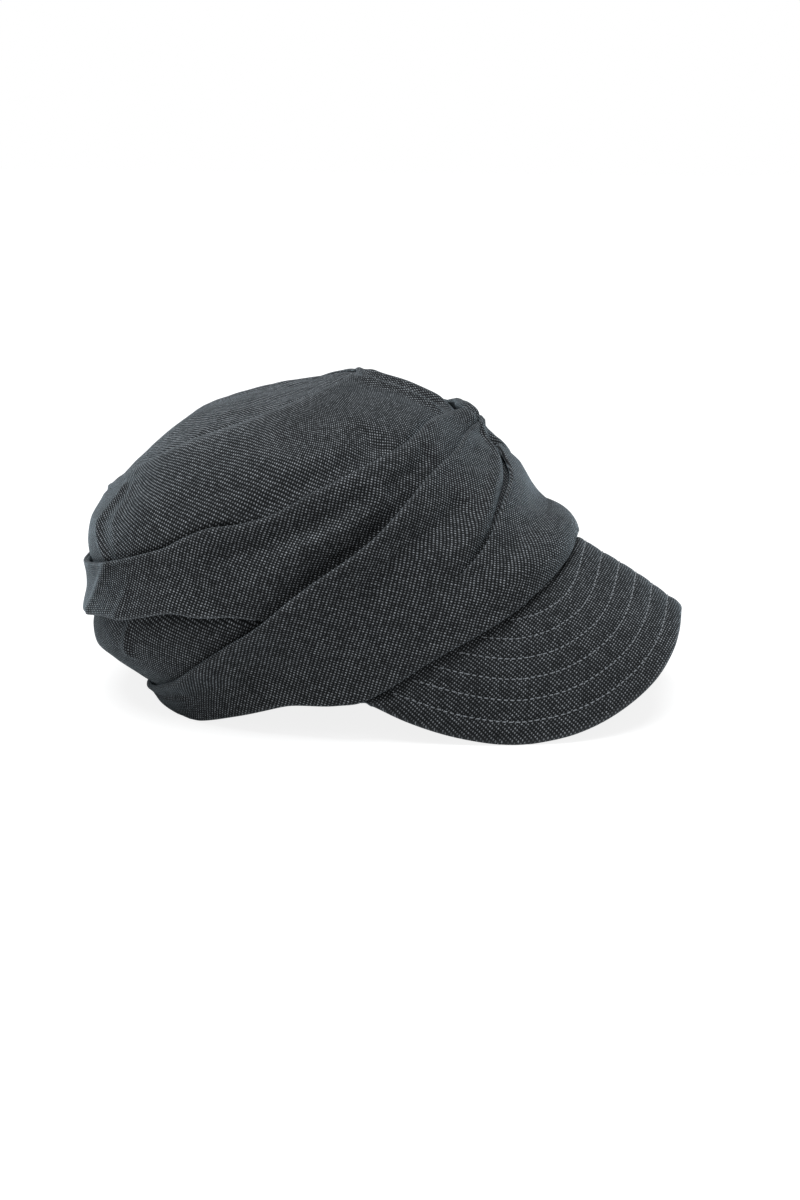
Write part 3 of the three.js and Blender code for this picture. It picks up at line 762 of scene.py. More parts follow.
LOWER_ROWS = LowerRows(hem=5, front=34, roll=7, back=7, turn=5, above=42, top=7, inside=30)
FRONT_ROLL = 0.0009
FRONT_TURN = 0.0002
STAND_OUT = 0.0028
STAND_OUT_WIDTH = 0.0065
FRONT_DIP = 0.0012
FRONT_DIP_WIDTH = 0.0015
FRONT_BULGE = 0.0018
FRONT_BULGE_HEIGHT = 0.0058
FRONT_BULGE_WIDTH = 0.0034
FRONT_SLANT = 0.4
FRONT_SLANT_ANGLE = 6
FRONT_OPENS = (-0.0008, 0.0012)
OPENED_REACH = 2.5
OPENED_START = 1.6
LINING_CHANGES = (-0.004, 0)
HEM_THINS = (0.002, 0.0045)
HEM_HIGHLIGHT_AND_WEAR = 0.5
HEM_HIGHLIGHT_AND_WEAR_WIDTH = 0.0015
FRONT_HIGHLIGHT_AND_WEAR = 0.2
FRONT_HIGHLIGHT_AND_WEAR_WIDTH = 0.0012


def hem_cloth(angle, height):
    return lerp(HEM_CLOTH, CLOTH, ease(height - hem(angle), *HEM_THINS))


def lower_shape(angle, height):
    """The lower drape's outside, whose fold stands away from the drape behind it."""
    proud = STAND_OUT * standing_fold(angle) * bell(lower_fold(angle) - height, STAND_OUT_WIDTH)
    above = (height - front_fold(angle)) * (1 - FRONT_SLANT * bell(angle, FRONT_SLANT_ANGLE))
    bulge = FRONT_BULGE * bell(above - FRONT_BULGE_HEIGHT, FRONT_BULGE_WIDTH)
    dip = FRONT_DIP * bell(above, FRONT_DIP_WIDTH) - bulge
    return lower_lift(angle, height) + proud - dip * folded_front(angle)


def make_lower_drape():
    """The lower drape and the front pleat are one cloth. Over the middle of the front it goes up
    from the hem to the front fold, down behind it, and up again to the lower fold."""
    angles = round_angles()
    a = angles[:, None]
    low, line, high = hem(a), front_fold(a), lower_fold(a)
    folded = folded_front(a)
    foot, top = hem_cloth(a, low) / 2, FOLD_CLOTH / 2
    rows = LOWER_ROWS

    up = low + foot + (line - FRONT_ROLL - low - foot) * np.linspace(0, 1, rows.front)
    turn = half_turn(rows.roll)
    fold_lift = front_lift(a, line - FRONT_ROLL)
    roll = line - FRONT_ROLL * (1 - np.sin(turn))
    roll_lift = fold_lift - FRONT_ROLL * (1 - np.cos(turn))
    tuck = FRONT_TUCK * folded
    down = line - FRONT_ROLL - (tuck - FRONT_ROLL) * np.linspace(0, 1, rows.back)
    behind_fold = fold_lift - 2 * FRONT_ROLL
    down_lift = np.broadcast_to(behind_fold, down.shape)
    bend = half_turn(rows.turn)
    bottom_lift = lower_shape(a, line - tuck)
    bent = line - tuck - FRONT_TURN * np.sin(bend)
    bent_lift = (behind_fold + bottom_lift) / 2 + (behind_fold - bottom_lift) / 2 * np.cos(bend)
    pleat = np.concatenate((roll, down, bent), 1)
    pleat_lift = np.concatenate((roll_lift, down_lift, bent_lift), 1)

    # Beside the front the pleat opens into a plain stretch of the same number of rows.
    steps = np.linspace(0, 1, pleat.shape[1] + 2)[1:-1]
    opened = line - FRONT_ROLL + OPENED_REACH * FRONT_ROLL * steps
    change = ease(opened - line, *FRONT_OPENS)
    opened_lift = lerp(front_lift(a, opened), lower_shape(a, opened), change)
    flat_roll = line - FRONT_ROLL + FRONT_ROLL * turn
    flat_pleat = lerp(opened, np.concatenate((flat_roll, down, bent), 1), folded)
    pleat = lerp(opened, pleat, folded)
    pleat_lift = lerp(opened_lift, pleat_lift, folded)

    start = lerp(line + OPENED_START * FRONT_ROLL, line - tuck, folded)
    above = start + (high - top - start) * np.linspace(0, 1, rows.above)
    arch = half_turn(rows.top)
    over = high - top + top * np.sin(arch)
    over_lift = lower_shape(a, high - top) - top + top * np.cos(arch)
    inside = high - top + (low + foot - high + top) * np.linspace(0, 1, rows.inside)
    thick_hem = hem_cloth(a, inside)
    thickness = np.maximum(fold_cloth(lower_fold)(a, inside), thick_hem)
    behind_front = front_lift(a, inside) - thick_hem
    behind_lower = lower_shape(a, inside) - thickness
    lining = lerp(behind_front, behind_lower, ease(inside - line + tuck, *LINING_CHANGES))
    under = half_turn(rows.hem)
    round_hem = low + foot - foot * np.sin(under)
    hem_lift = front_lift(a, low + foot) - foot - foot * np.cos(under)

    flat_top, flat_hem = high - top + top * arch, low + foot - foot * (np.pi - under)
    flat = np.concatenate((up, flat_pleat, above, flat_top, inside, flat_hem), 1)
    heights = np.concatenate((up, pleat, above, over, inside, round_hem), 1)
    lifts = (front_lift(a, up), pleat_lift, lower_shape(a, above), over_lift, lining, hem_lift)
    points = place_sections(angles, heights, np.concatenate(lifts, 1))
    # Painted highlight, also standing for wear: the lower fold, the hem and the front pleat's
    # rolled edge are lightened, for light catching them.
    highlight_and_wear = FOLD_HIGHLIGHT_AND_WEAR * bell(heights - high, FOLD_HIGHLIGHT_AND_WEAR_WIDTH)
    highlight_and_wear = highlight_and_wear + HEM_HIGHLIGHT_AND_WEAR * bell(heights - low, HEM_HIGHLIGHT_AND_WEAR_WIDTH)
    front_rows = np.arange(heights.shape[1]) < rows.front + rows.roll
    highlight_and_wear = highlight_and_wear + FRONT_HIGHLIGHT_AND_WEAR * folded * bell(heights - line, FRONT_HIGHLIGHT_AND_WEAR_WIDTH) * front_rows
    return dress_band("lower_drape_cloth", angles, flat, points, highlight_and_wear, DRAPE_BIAS, front_lift)


TIP_ROWS = 56
TIP_COLUMNS = 260
TIP_RIM = 0.985
TIP_RIM_CROWDING = 1.6
TIP_SINK = 0.0009
TIP_SINK_WIDTH = 0.0025
TIP_START = 0.02
TIP_HALF = 0.055
TIP_DOME_POWER = 1.3
TIP_WAVES = 1.6
TIP_WAVE_TURN = 1.3
TIP_HIGHLIGHT_AND_WEAR = 0.6
TIP_HIGHLIGHT_AND_WEAR_WIDTH = 0.0015
TIP_BIAS = 45


def tip_point(angle, reach, depth):
    """A point of the top panel, from its middle at reach 0 to the seam at reach 1."""
    seam = crown_point(angle, np.full(angle.shape, SEAM_HEIGHT), np.zeros(angle.shape))
    span = np.linalg.norm(seam - TIP_MIDDLE, axis=-1)
    dome = TIP_DOME * (1 - reach**2) ** TIP_DOME_POWER
    sink = TIP_SINK * bell((1 - reach) * span, TIP_SINK_WIDTH)
    waves = ripple(angle, SEAM_HEIGHT * reach, TIP_WAVES * WAVE * reach, TIP_WAVE_TURN)
    point = TIP_MIDDLE + (seam - TIP_MIDDLE) * reach[..., None]
    point[..., 2] += dome - sink - depth + waves
    return point


def make_tip():
    """The top panel: a shallow dome with a rounded rim, closed underneath."""
    angles = np.linspace(-180, 180, TIP_COLUMNS, endpoint=False)
    crowded = 1 - (1 - np.linspace(0, 1, TIP_ROWS)) ** TIP_RIM_CROWDING
    out = TIP_START + (TIP_RIM - TIP_START) * crowded
    turn = half_turn(5)
    rim = TIP_RIM + CLOTH / 2 / TIP_HALF * np.sin(turn)
    reach = np.concatenate((out, rim, out[::-1]))
    rim_depth = CLOTH / 2 * (1 - np.cos(turn))
    depth = np.concatenate((np.zeros(TIP_ROWS), rim_depth, np.full(TIP_ROWS, CLOTH)))
    a, r = np.broadcast_arrays(angles[:, None], reach)
    points = stand(tip_point(a, np.minimum(r, 1), depth))
    flat = tip_point(a, np.minimum(r, 1), 0 * depth)
    cloth = turned(flat[..., 0], flat[..., 1], TIP_BIAS)
    cloth = np.concatenate((cloth, cloth[:1]))
    # Painted highlight, also standing for wear, along the top panel's rim, for light catching the
    # seam.
    highlight_and_wear = TIP_HIGHLIGHT_AND_WEAR * bell((1 - r) * TIP_HALF, TIP_HIGHLIGHT_AND_WEAR_WIDTH)
    return skin("crown_tip_cloth", points, cloth, highlight_and_wear, closes=False)


PEAK_COLUMNS = 290
PEAK_ROWS = 96
PEAK_ROOT_ROWS = 6
STITCH_MARGIN = 0.0085
STITCH_ROW_GAP = 0.0083
STITCH_ROWS = 7
QUILT_DEPTH = 0.00035
QUILT_WIDTH = 0.0013
MARGIN_PUFF = 0.0005
PEAK_BIAS = 2
ROOT_PUFF = 0.001
ROOT_PUFF_SIDE = 0.35
ROOT_PUFF_PLACE = 0.06
ROOT_PUFF_WIDTH = 0.12
EDGE_TURNS = 7
EDGE_HIGHLIGHT_AND_WEAR = 0.8
EDGE_HIGHLIGHT_AND_WEAR_WIDTH = 0.0018
CROWN_AIM = (0.55, 0.45, 0.35)


def peak_frame():
    """The peak's knee under the hem, its edge, and the two directions that shape it between them,
    for even steps from one end to the other."""
    side = np.linspace(-1, 1, PEAK_COLUMNS)
    reach = np.abs(side)
    angle = PEAK_ROOT_REACH * reach
    low = hem(angle)
    hem_lift = np.where(angle < FRONT_REACH, front_lift(angle, low), lower_lift(angle, low))
    behind_hem = hem_lift - HEM_CLOTH - PEAK_CLEAR
    knee = crown_point(angle, low - PEAK_CLEAR, behind_hem)
    root = [
        crown_point(angle, low + PEAK_ROOT_RISE, np.minimum(behind_hem, 0) - inside * PEAK_THICK)
        for inside in (0, 1)
    ]
    edge, direction = peak_edge_points(2001)
    at = np.linspace(0, 1, len(edge))
    tip, course = (read_at((1 + reach) / 2, at, rows) for rows in (edge, direction))
    outward = unit(CROWN_AIM * np.stack((0 * reach + 1, reach, 0 * reach + 1), -1))
    normal = unit(np.cross(tip - knee, course))
    normal = normal * np.where((normal * outward).sum(-1) < 0, -1, 1)[:, None]
    mirror = np.where(side < 0, -1, 1)[:, None] * (0, 1, 0) + (1, 0, 1)
    return [part * mirror for part in (knee, tip, outward, normal, *root)]


def unrolled(first, second):
    """Lays the strip between two rows of points flat, keeping every length."""
    flat_first = [np.zeros(2)]
    flat_second = [np.array((0, np.linalg.norm(second[0] - first[0])))]

    def beyond(a, b, from_a, from_b):
        """The point at two distances from a and b, on the side that the strip runs to."""
        base = b - a
        width = np.linalg.norm(base)
        along = (from_a**2 - from_b**2 + width**2) / (2 * width)
        off = math.sqrt(max(from_a**2 - along**2, 0))
        return a + base / width * along + np.array((base[1], -base[0])) / width * off

    for i in range(1, len(first)):
        a, b = flat_first[-1], flat_second[-1]
        lengths = [np.linalg.norm(first[i] - row[i - 1]) for row in (first, second)]
        flat_first.append(beyond(a, b, *lengths))
        lengths = [np.linalg.norm(second[i] - end) for end in (first[i], second[i - 1])]
        flat_second.append(beyond(flat_first[-1], b, *lengths))
    return np.array(flat_first), np.array(flat_second)


def distance_to_path(points, path):
    """Distance in the plane from each point to a path of short straight steps."""
    shape = points.shape[:-1]
    flat = points.reshape(-1, 2)
    nearest = np.full(len(flat), np.inf)
    for start, end in zip(path[:-1], path[1:]):
        run = end - start
        t = np.clip(((flat - start) @ run) / max(run @ run, 1e-12), 0, 1)
        nearest = np.minimum(nearest, np.linalg.norm(flat - start - t[:, None] * run, axis=1))
    return nearest.reshape(shape)


def stitch_distances():
    return STITCH_MARGIN + STITCH_ROW_GAP * np.arange(STITCH_ROWS)


def quilting(from_edge):
    """Height of the peak's padding over its plain surface, with grooves at the stitches."""
    height = MARGIN_PUFF * bell(from_edge - STITCH_MARGIN / 2, STITCH_MARGIN / 3)
    for distance in stitch_distances():
        height = height - QUILT_DEPTH * bell(from_edge - distance, QUILT_WIDTH)
    return height


class PeakSurface(NamedTuple):
    """The two faces of the peak between knee and edge, with their distance from the edge."""

    outer: np.ndarray
    inner: np.ndarray
    from_edge: np.ndarray
    cloth: np.ndarray


def peak_surface():
    knee, tip, outward, normal, _, _ = peak_frame()
    t = np.linspace(0, 1, PEAK_ROWS)[None, :, None]
    middle_front = bell(np.linspace(-1, 1, PEAK_COLUMNS), ROOT_PUFF_SIDE)[:, None, None]
    start = ease(t, 0, ROOT_PUFF_PLACE) * bell(t - ROOT_PUFF_PLACE, ROOT_PUFF_WIDTH)
    swell = PEAK_CROWN * 4 * t * (1 - t) + ROOT_PUFF * middle_front * start
    middle = knee[:, None] + (tip - knee)[:, None] * t + outward[:, None] * swell
    flat_knee, flat_tip = unrolled(knee, tip)
    cloth = flat_knee[:, None] + (flat_tip - flat_knee)[:, None] * t
    from_edge = distance_to_path(cloth, flat_tip)
    padding = quilting(from_edge)[..., None] * normal[:, None]
    outer = middle + padding
    inner = middle - normal[:, None] * PEAK_THICK - padding
    return PeakSurface(outer, inner, from_edge, cloth)


def make_peak(surface):
    """The peak: two quilted faces, a rounded edge and the root that goes up behind the hem."""
    knee, tip, _, normal, root_outer, root_inner = peak_frame()
    radius = PEAK_THICK / 2
    depth = np.linalg.norm(tip - knee, axis=1)
    last = 1 - radius / depth
    t = np.linspace(0, 1, PEAK_ROWS)

    def shortened(face):
        """Draws the rows of a face back from the edge to leave room for its rounding."""
        wanted = t[None, :] * last[:, None]
        place = wanted * (PEAK_ROWS - 1)
        i = np.clip(place.astype(int), 0, PEAK_ROWS - 2)
        part = (place - i)[..., None]
        column = np.arange(len(face))[:, None]
        return face[column, i] * (1 - part) + face[column, i + 1] * part

    def run_on(rows, steps):
        """Rows of cloth beyond the first of two rows, at the distance between the two."""
        return rows[:, :1] + (rows[:, :1] - rows[:, 1:2]) * steps[None, :, None]

    outer, inner = shortened(surface.outer), shortened(surface.inner)
    along = unit(outer[:, -1] - outer[:, -4])
    centre = (outer[:, -1] + inner[:, -1]) / 2
    half = np.linalg.norm(outer[:, -1] - inner[:, -1], axis=1)[:, None] / 2
    rounding = [
        centre + along * half * math.sin(angle) + normal * half * math.cos(angle)
        for angle in half_turn(EDGE_TURNS)
    ]
    climb = np.linspace(0, 1, PEAK_ROOT_ROWS + 1)[None, :-1, None]
    behind = root_outer[:, None] + (outer[:, :1] - root_outer[:, None]) * climb
    inside = root_inner[:, None] + (inner[:, :1] - root_inner[:, None]) * climb[:, ::-1]
    points = (behind, outer, np.stack(rounding, 1), inner[:, ::-1], inside)
    points = stand(np.concatenate(points, 1))
    laid = shortened(surface.cloth)
    over = run_on(laid[:, ::-1], np.arange(1, EDGE_TURNS + 1))
    up = run_on(laid, np.arange(PEAK_ROOT_ROWS, 0, -1))
    cloth = np.concatenate((up, laid, over, laid[:, ::-1], up[:, ::-1], up[:, :1]), 1)
    cloth = turned(cloth[..., 0], cloth[..., 1], PEAK_BIAS)
    from_edge = shortened(surface.from_edge[..., None])[..., 0]
    # Painted highlight, also standing for wear, on the peak's rounded edge and the faces beside it,
    # for light catching the edge.
    face_highlight_and_wear = EDGE_HIGHLIGHT_AND_WEAR * bell(from_edge, EDGE_HIGHLIGHT_AND_WEAR_WIDTH)
    edge_highlight_and_wear = np.ones((PEAK_COLUMNS, EDGE_TURNS))
    hidden = np.zeros((PEAK_COLUMNS, PEAK_ROOT_ROWS))
    highlight_and_wear = np.concatenate((hidden, face_highlight_and_wear, edge_highlight_and_wear, face_highlight_and_wear[:, ::-1], hidden), 1)
    return skin("peak_cloth", points, cloth, highlight_and_wear, goes_round=False)


STITCH_PITCH = 0.00265
STITCH_LENGTH = 0.0018
STITCH_RADIUS = 0.00026
STITCH_SIDES = 6
STITCH_RISE = 1.4
STITCH_LOOK = 0.0004
STITCH_BOW = ((0, -0.9), (0.18, 0.25), (0.5, 0.6), (0.82, 0.25), (1, -0.9))


def row_path(face, from_edge, distance):
    """Points along one row of stitching: where a face's distance from the edge has a value."""
    points = []
    for column, away in zip(face, from_edge):
        if away[0] <= distance:
            continue
        i = len(away) - 1 - int(np.argmax(away[::-1] > distance))
        part = (away[i] - distance) / (away[i] - away[i + 1])
        points.append(column[i] * (1 - part) + column[i + 1] * part)
    return np.array(points)


def stitch_tube(place, path, up, length):
    """Rings of points round one raised stitch that starts at a place along its row."""
    turn = np.linspace(0, 2 * np.pi, STITCH_SIDES, endpoint=False)[:, None]
    points = []
    for along, bow in STITCH_BOW:
        here = place + along * STITCH_LENGTH
        at, off = read_at(here, length, path), read_at(here, length, up)
        run = read_at(here + STITCH_LOOK, length, path)
        centre = at + off * bow * STITCH_RADIUS * STITCH_RISE
        across = unit(np.cross(run - at, off))
        lift = unit(np.cross(across, run - at))
        ring = across * np.cos(turn) + lift * np.sin(turn)
        points.append(centre + ring * STITCH_RADIUS)
    return points


def make_stitches(surface):
    """Short raised threads along the rows, on both faces of the peak."""
    normal = peak_frame()[3]
    tubes = []
    for face, outside in ((surface.outer, 1), (surface.inner, -1)):
        normals = np.broadcast_to(normal[:, None] * outside, face.shape)
        for distance in stitch_distances():
            path = row_path(face, surface.from_edge, distance)
            if len(path) < 6:
                continue
            up = row_path(normals, surface.from_edge, distance)
            length = run_along(path)
            for start in np.arange(STITCH_PITCH, length[-1] - 2 * STITCH_PITCH, STITCH_PITCH):
                tubes.append(stitch_tube(start, path, up, length))
    rings = len(STITCH_BOW)
    sides, _ = grid_faces(rings, STITCH_SIDES, False, True)
    sides = sides[:, (0, 3, 2, 1)].tolist()
    first = list(range(STITCH_SIDES))[::-1]
    last = list(range(STITCH_SIDES * (rings - 1), STITCH_SIDES * rings))
    faces = []
    for k in range(len(tubes)):
        base = k * rings * STITCH_SIDES
        faces += [[base + corner for corner in face] for face in (*sides, first, last)]
    piece = link_smooth("peak_stitches", stand(np.array(tubes)), faces)
    face_outward(piece)
    return piece


# Materials. Lengths inside the node groups are counted in threads of the weave.
class Nodes:
    """Adds nodes to a tree and links them, with numbers or sockets as inputs."""

    def __init__(self, tree):
        self.tree = tree

    def fill(self, inputs, values):
        for name, value in values.items():
            if isinstance(value, bpy.types.NodeSocket):
                self.tree.links.new(value, inputs[name])
            else:
                inputs[name].default_value = value

    def add(self, kind, inputs=(), **settings):
        made = self.tree.nodes.new(kind)
        for name, value in settings.items():
            setattr(made, name, value)
        self.fill(made.inputs, dict(inputs))
        return made

    def math(self, operation, first, second=0.0, third=0.0):
        inputs = {0: first, 1: second, 2: third}
        return self.add("ShaderNodeMath", inputs, operation=operation).outputs[0]

    def times_and(self, first, second, third):
        return self.math("MULTIPLY_ADD", first, second, third)

    def mix(self, factor, first, second):
        inputs = {"Factor": factor, 6: first, 7: second}
        return self.add("ShaderNodeMix", inputs, data_type="RGBA").outputs[2]

    def noise(self, vector, scale, detail, roughness=0.5):
        inputs = {"Vector": vector, "Scale": scale, "Detail": detail, "Roughness": roughness}
        return self.add("ShaderNodeTexNoise", inputs).outputs

    def bump(self, height, strength, distance):
        inputs = {"Height": height, "Strength": strength, "Distance": distance}
        return self.add("ShaderNodeBump", inputs).outputs["Normal"]


def new_group(name, inputs, outputs):
    """A node group with named sockets; each input has a default value."""
    tree = bpy.data.node_groups.new(name, "ShaderNodeTree")
    kinds = {3: "NodeSocketVector", 4: "NodeSocketColor"}
    for label, default in inputs:
        size = len(default) if hasattr(default, "__len__") else 1
        kind = kinds.get(size, "NodeSocketFloat")
        socket = tree.interface.new_socket(name=label, in_out="INPUT", socket_type=kind)
        socket.default_value = default
    for label, kind in outputs:
        tree.interface.new_socket(name=label, in_out="OUTPUT", socket_type=kind)
    return tree


DRIFT = 0.7
DRIFT_SCALE = 0.12
SPECK_SHARPNESS = 2.1
SPECK_FLOOR = 0.015
SLUB_STRETCH = 0.16
SLUB_SCALE = 1.7
FIBRE_SCALE = 2.3
FIBRE_UNEVEN = 2.0
FIBRE_HEIGHT = 0.5
CLOUD_SCALE = 0.05
CLOUD_UNEVEN = 0.6
# How much the painted highlight, which also stands for wear, lightens the specks.
HIGHLIGHT_AND_WEAR_LIGHT = 0.06


def cloth_weave_group():
    """Heathered woven cloth: rows of uneven light specks of thread, with their height."""
    name = "Cloth Weave"
    if name in bpy.data.node_groups:
        return bpy.data.node_groups[name]
    tree = new_group(
        name,
        (
            ("Cloth", (0.0, 0.0, 0.0)),
            ("Across Spacing", 0.00141),
            ("Along Spacing", 0.00105),
            ("Dark", (0.01, 0.011, 0.012, 1)),
            ("Light", (0.2, 0.21, 0.22, 1)),
            ("Speck", 1.0),
            ("Heather", 0.5),
            ("Highlight And Wear", 0.0),
        ),
        (("Color", "NodeSocketColor"), ("Height", "NodeSocketFloat")),
    )
    n = Nodes(tree)
    given = n.add("NodeGroupInput").outputs
    out = n.add("NodeGroupOutput")

    def joined(x, y):
        return n.add("ShaderNodeCombineXYZ", {"X": x, "Y": y}).outputs[0]

    def wave(value):
        swing = n.math("COSINE", n.math("MULTIPLY", value, 2 * math.pi))
        return n.times_and(swing, 0.5, 0.5)

    split = n.add("ShaderNodeSeparateXYZ", {"Vector": given["Cloth"]}).outputs
    across = n.math("DIVIDE", split["X"], given["Across Spacing"])
    along = n.math("DIVIDE", split["Y"], given["Along Spacing"])
    threads = joined(across, along)
    wander = n.noise(threads, DRIFT_SCALE, 2.0)["Color"]
    wander = n.add("ShaderNodeSeparateXYZ", {"Vector": wander}).outputs
    across = n.times_and(wander["X"], DRIFT, across)
    along = n.times_and(wander["Y"], DRIFT, along)

    speck = n.math("POWER", n.math("MULTIPLY", wave(across), wave(along)), SPECK_SHARPNESS)
    row = n.math("ROUND", along)
    cell = joined(n.math("ROUND", across), row)
    each = n.add("ShaderNodeTexWhiteNoise", {"Vector": cell}, noise_dimensions="2D").outputs[0]
    slub = n.noise(joined(n.math("MULTIPLY", across, SLUB_STRETCH), row), SLUB_SCALE, 1.0)[0]
    fibre = n.noise(threads, FIBRE_SCALE, 3.0, 0.7)[0]
    cloud = n.noise(threads, CLOUD_SCALE, 2.0)[0]

    amount = n.times_and(each, given["Heather"], n.math("SUBTRACT", 1.0, given["Heather"]))
    uneven = 1.0
    for source, share in ((slub, 1.0), (fibre, FIBRE_UNEVEN), (cloud, CLOUD_UNEVEN)):
        uneven = n.times_and(n.math("SUBTRACT", source, 0.5), share, uneven)
    bright = n.times_and(speck, 1 - SPECK_FLOOR, SPECK_FLOOR)
    bright = n.math("MULTIPLY", bright, n.math("MULTIPLY", amount, given["Speck"]))
    bright = n.math("MULTIPLY", bright, n.math("MAXIMUM", uneven, 0.0))
    # Painted highlight: the highlight and wear input lightens the specks along edges and folds, for
    # light catching them, and also for wear.
    bright = n.times_and(given["Highlight And Wear"], HIGHLIGHT_AND_WEAR_LIGHT, bright)
    clamped = n.add("ShaderNodeClamp", {"Value": bright}).outputs[0]
    colour = n.mix(clamped, given["Dark"], given["Light"])
    n.fill(out.inputs, {"Color": colour, "Height": n.times_and(fibre, FIBRE_HEIGHT, speck)})
    return tree


def new_material(name):
    """A material, with its tree's nodes and its shader's inputs."""
    made = bpy.data.materials.new(name)
    made.use_nodes = True
    return made, Nodes(made.node_tree), made.node_tree.nodes["Principled BSDF"].inputs


def woven_cloth(name, scale, painted_lightness):
    """Material of the crown, drapes and peak: heathered wool-like weave with a soft sheen."""
    made, n, shader = new_material(name)
    settings = bpy.context.scene.cap_cloth
    values = {
        "Cloth": n.add("ShaderNodeUVMap", uv_map="cloth").outputs[0],
        # Painted highlight and wear along edges and folds, read from the piece's attribute.
        "Highlight And Wear": n.add("ShaderNodeAttribute", attribute_name="highlight_and_wear").outputs["Fac"],
        "Across Spacing": settings.across_spacing * scale,
        "Along Spacing": settings.along_spacing * scale,
        "Dark": (*settings.dark, 1),
        # Painted light: each part's light threads are scaled lighter or darker; the top panel's are
        # painted lighter for the light from above.
        "Light": (*(painted_lightness * Vector(settings.light)), 1),
        "Speck": settings.speck,
        "Heather": settings.heather,
    }
    weave = n.add("ShaderNodeGroup", values, node_tree=cloth_weave_group()).outputs
    looks = {
        "Roughness": 0.95,
        "Specular IOR Level": 0.2,
        "Sheen Weight": settings.sheen,
        "Sheen Roughness": 0.27,
        "Sheen Tint": (*settings.sheen_tint, 1),
        "Base Color": weave["Color"],
        "Normal": n.bump(weave["Height"], 0.6, settings.relief),
    }
    n.fill(shader, looks)
    return made


def stitch_thread():
    """Material of the stitching: a paler thread with a fine twist along it."""
    made, n, shader = new_material("stitch_thread")
    thread = bpy.context.scene.cap_stitches
    patch = n.noise(n.add("ShaderNodeTexCoord").outputs["Object"], 900, 2.0)[0]
    looks = {
        "Roughness": 0.8,
        "Sheen Weight": 0.3,
        "Base Color": n.mix(patch, (*thread.deep, 1), (*thread.pale, 1)),
        "Normal": n.bump(patch, 0.4, 0.0001),
    }
    n.fill(shader, looks)
    return made


def finish_piece(piece, material, slot, *nodes):
    piece.data.materials.append(material)
    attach(piece, "root")
    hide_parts(*nodes)


class Weave(NamedTuple):
    """How coarse the cloth of one part is, and how much lighter or darker its threads are painted.
    The top panel's threads are painted lighter, for the light from above that falls on it.
    """

    scale: float
    painted_lightness: float


# The top panel's cloth is a painted lighter copy of the same cloth, for the light from above; the
# peak's threads are darker.
WEAVES = {
    "tip_weave_painted_lighter": Weave(0.85, 1.45),
    "crown_weave": Weave(1.07, 1.0),
    "drape_weave": Weave(1.0, 1.0),
    "peak_weave": Weave(1.0, 0.85),
}


def cloth_material(name):
    """The woven cloth of one part of the cap, made once."""
    if name in bpy.data.materials:
        return bpy.data.materials[name]
    return woven_cloth(name, *WEAVES[name])


def colour(name, description, default):
    """A colour setting."""
    return bpy.props.FloatVectorProperty(
        name=name, description=description, subtype="COLOR", default=default, min=0, max=1
    )


def number(name, description, default, low, high, **more):
    """A number setting."""
    return bpy.props.FloatProperty(
        name=name, description=description, default=default, min=low, max=high, **more
    )


def vector(name, description, default, subtype, **more):
    """A place or direction setting."""
    return bpy.props.FloatVectorProperty(
        name=name, description=description, default=default, subtype=subtype, **more
    )


FINE = {"unit": "LENGTH", "precision": 5}
SHARE = {"subtype": "FACTOR"}


class CapCloth(bpy.types.PropertyGroup):
    dark: colour("Dark Threads", "Colour between the light specks", (0.004, 0.0046, 0.0052))
    light: colour("Light Threads", "Colour of the light specks", (0.5, 0.53, 0.563))
    speck: number("Speck Strength", "How strongly the specks stand out", 1.0, 0, 2)
    heather: number("Heather", "How much the specks differ from each other", 0.7, 0, 1)
    across_spacing: number(
        "Across Spacing", "Distance between specks across the cloth", 0.00141, 0.0003, 0.01, **FINE
    )
    along_spacing: number(
        "Along Spacing", "Distance between specks along the cloth", 0.00105, 0.0003, 0.01, **FINE
    )
    relief: number(
        "Relief", "Height of the threads over the gaps between them", 0.0005, 0, 0.002, **FINE
    )
    sheen: number("Sheen", "Strength of the nap's soft sheen", 0.5, 0, 1, **SHARE)
    sheen_tint: colour("Sheen Tint", "Colour of the nap's sheen", (0.75, 0.9, 1.0))


class CapStitches(bpy.types.PropertyGroup):
    pale: colour("Pale Thread", "Lighter colour of the thread", (0.3, 0.32, 0.34))
    deep: colour("Deep Thread", "Darker colour of the thread", (0.09, 0.1, 0.11))


class CapStage(bpy.types.PropertyGroup):
    camera_place: vector(
        "Camera Place", "Where the camera stands", (0.1346, -0.9086, 0.2839), "TRANSLATION",
        unit="LENGTH",
    )
    camera_target: vector(
        "Camera Target", "What the camera looks at", (0.0069, 0, 0.038), "TRANSLATION",
        unit="LENGTH",
    )
    lens: number("Lens", "Focal length of the camera in millimetres", 66.5, 10, 300)
    room_light: number("Room Light", "Brightness of the white room on the cap", 0.32, 0, 10)
    floor_bounce: number(
        "Floor Bounce", "Share of light that the floor gives back to the cap", 0.65, 0, 1, **SHARE
    )
    floor_glow: number(
        "Floor Glow", "How white the floor stays in the cap's shadow", 0.85, 0, 1, **SHARE
    )
    key_strength: number("Key Strength", "Strength of the large light overhead", 3.1, 0, 50)
    key_spread: number(
        "Key Spread", "How wide the light overhead looks from the cap", math.radians(45), 0,
        math.pi, subtype="ANGLE",
    )
    key_place: vector(
        "Key Place", "Direction that the light overhead comes from", (-0.06, -0.12, 1), "DIRECTION"
    )
    key_colour: colour("Key Colour", "Colour of the light overhead", (0.95, 0.98, 1))


class CAP_OT_tip(bpy.types.Operator):
    """Make the domed top panel"""

    bl_idname = "cap.tip"
    bl_label = "Top Panel"

    def execute(self, context):
        finish_piece(make_tip(), cloth_material("tip_weave_painted_lighter"), "crown_cloth", "crown_tip")
        return {"FINISHED"}


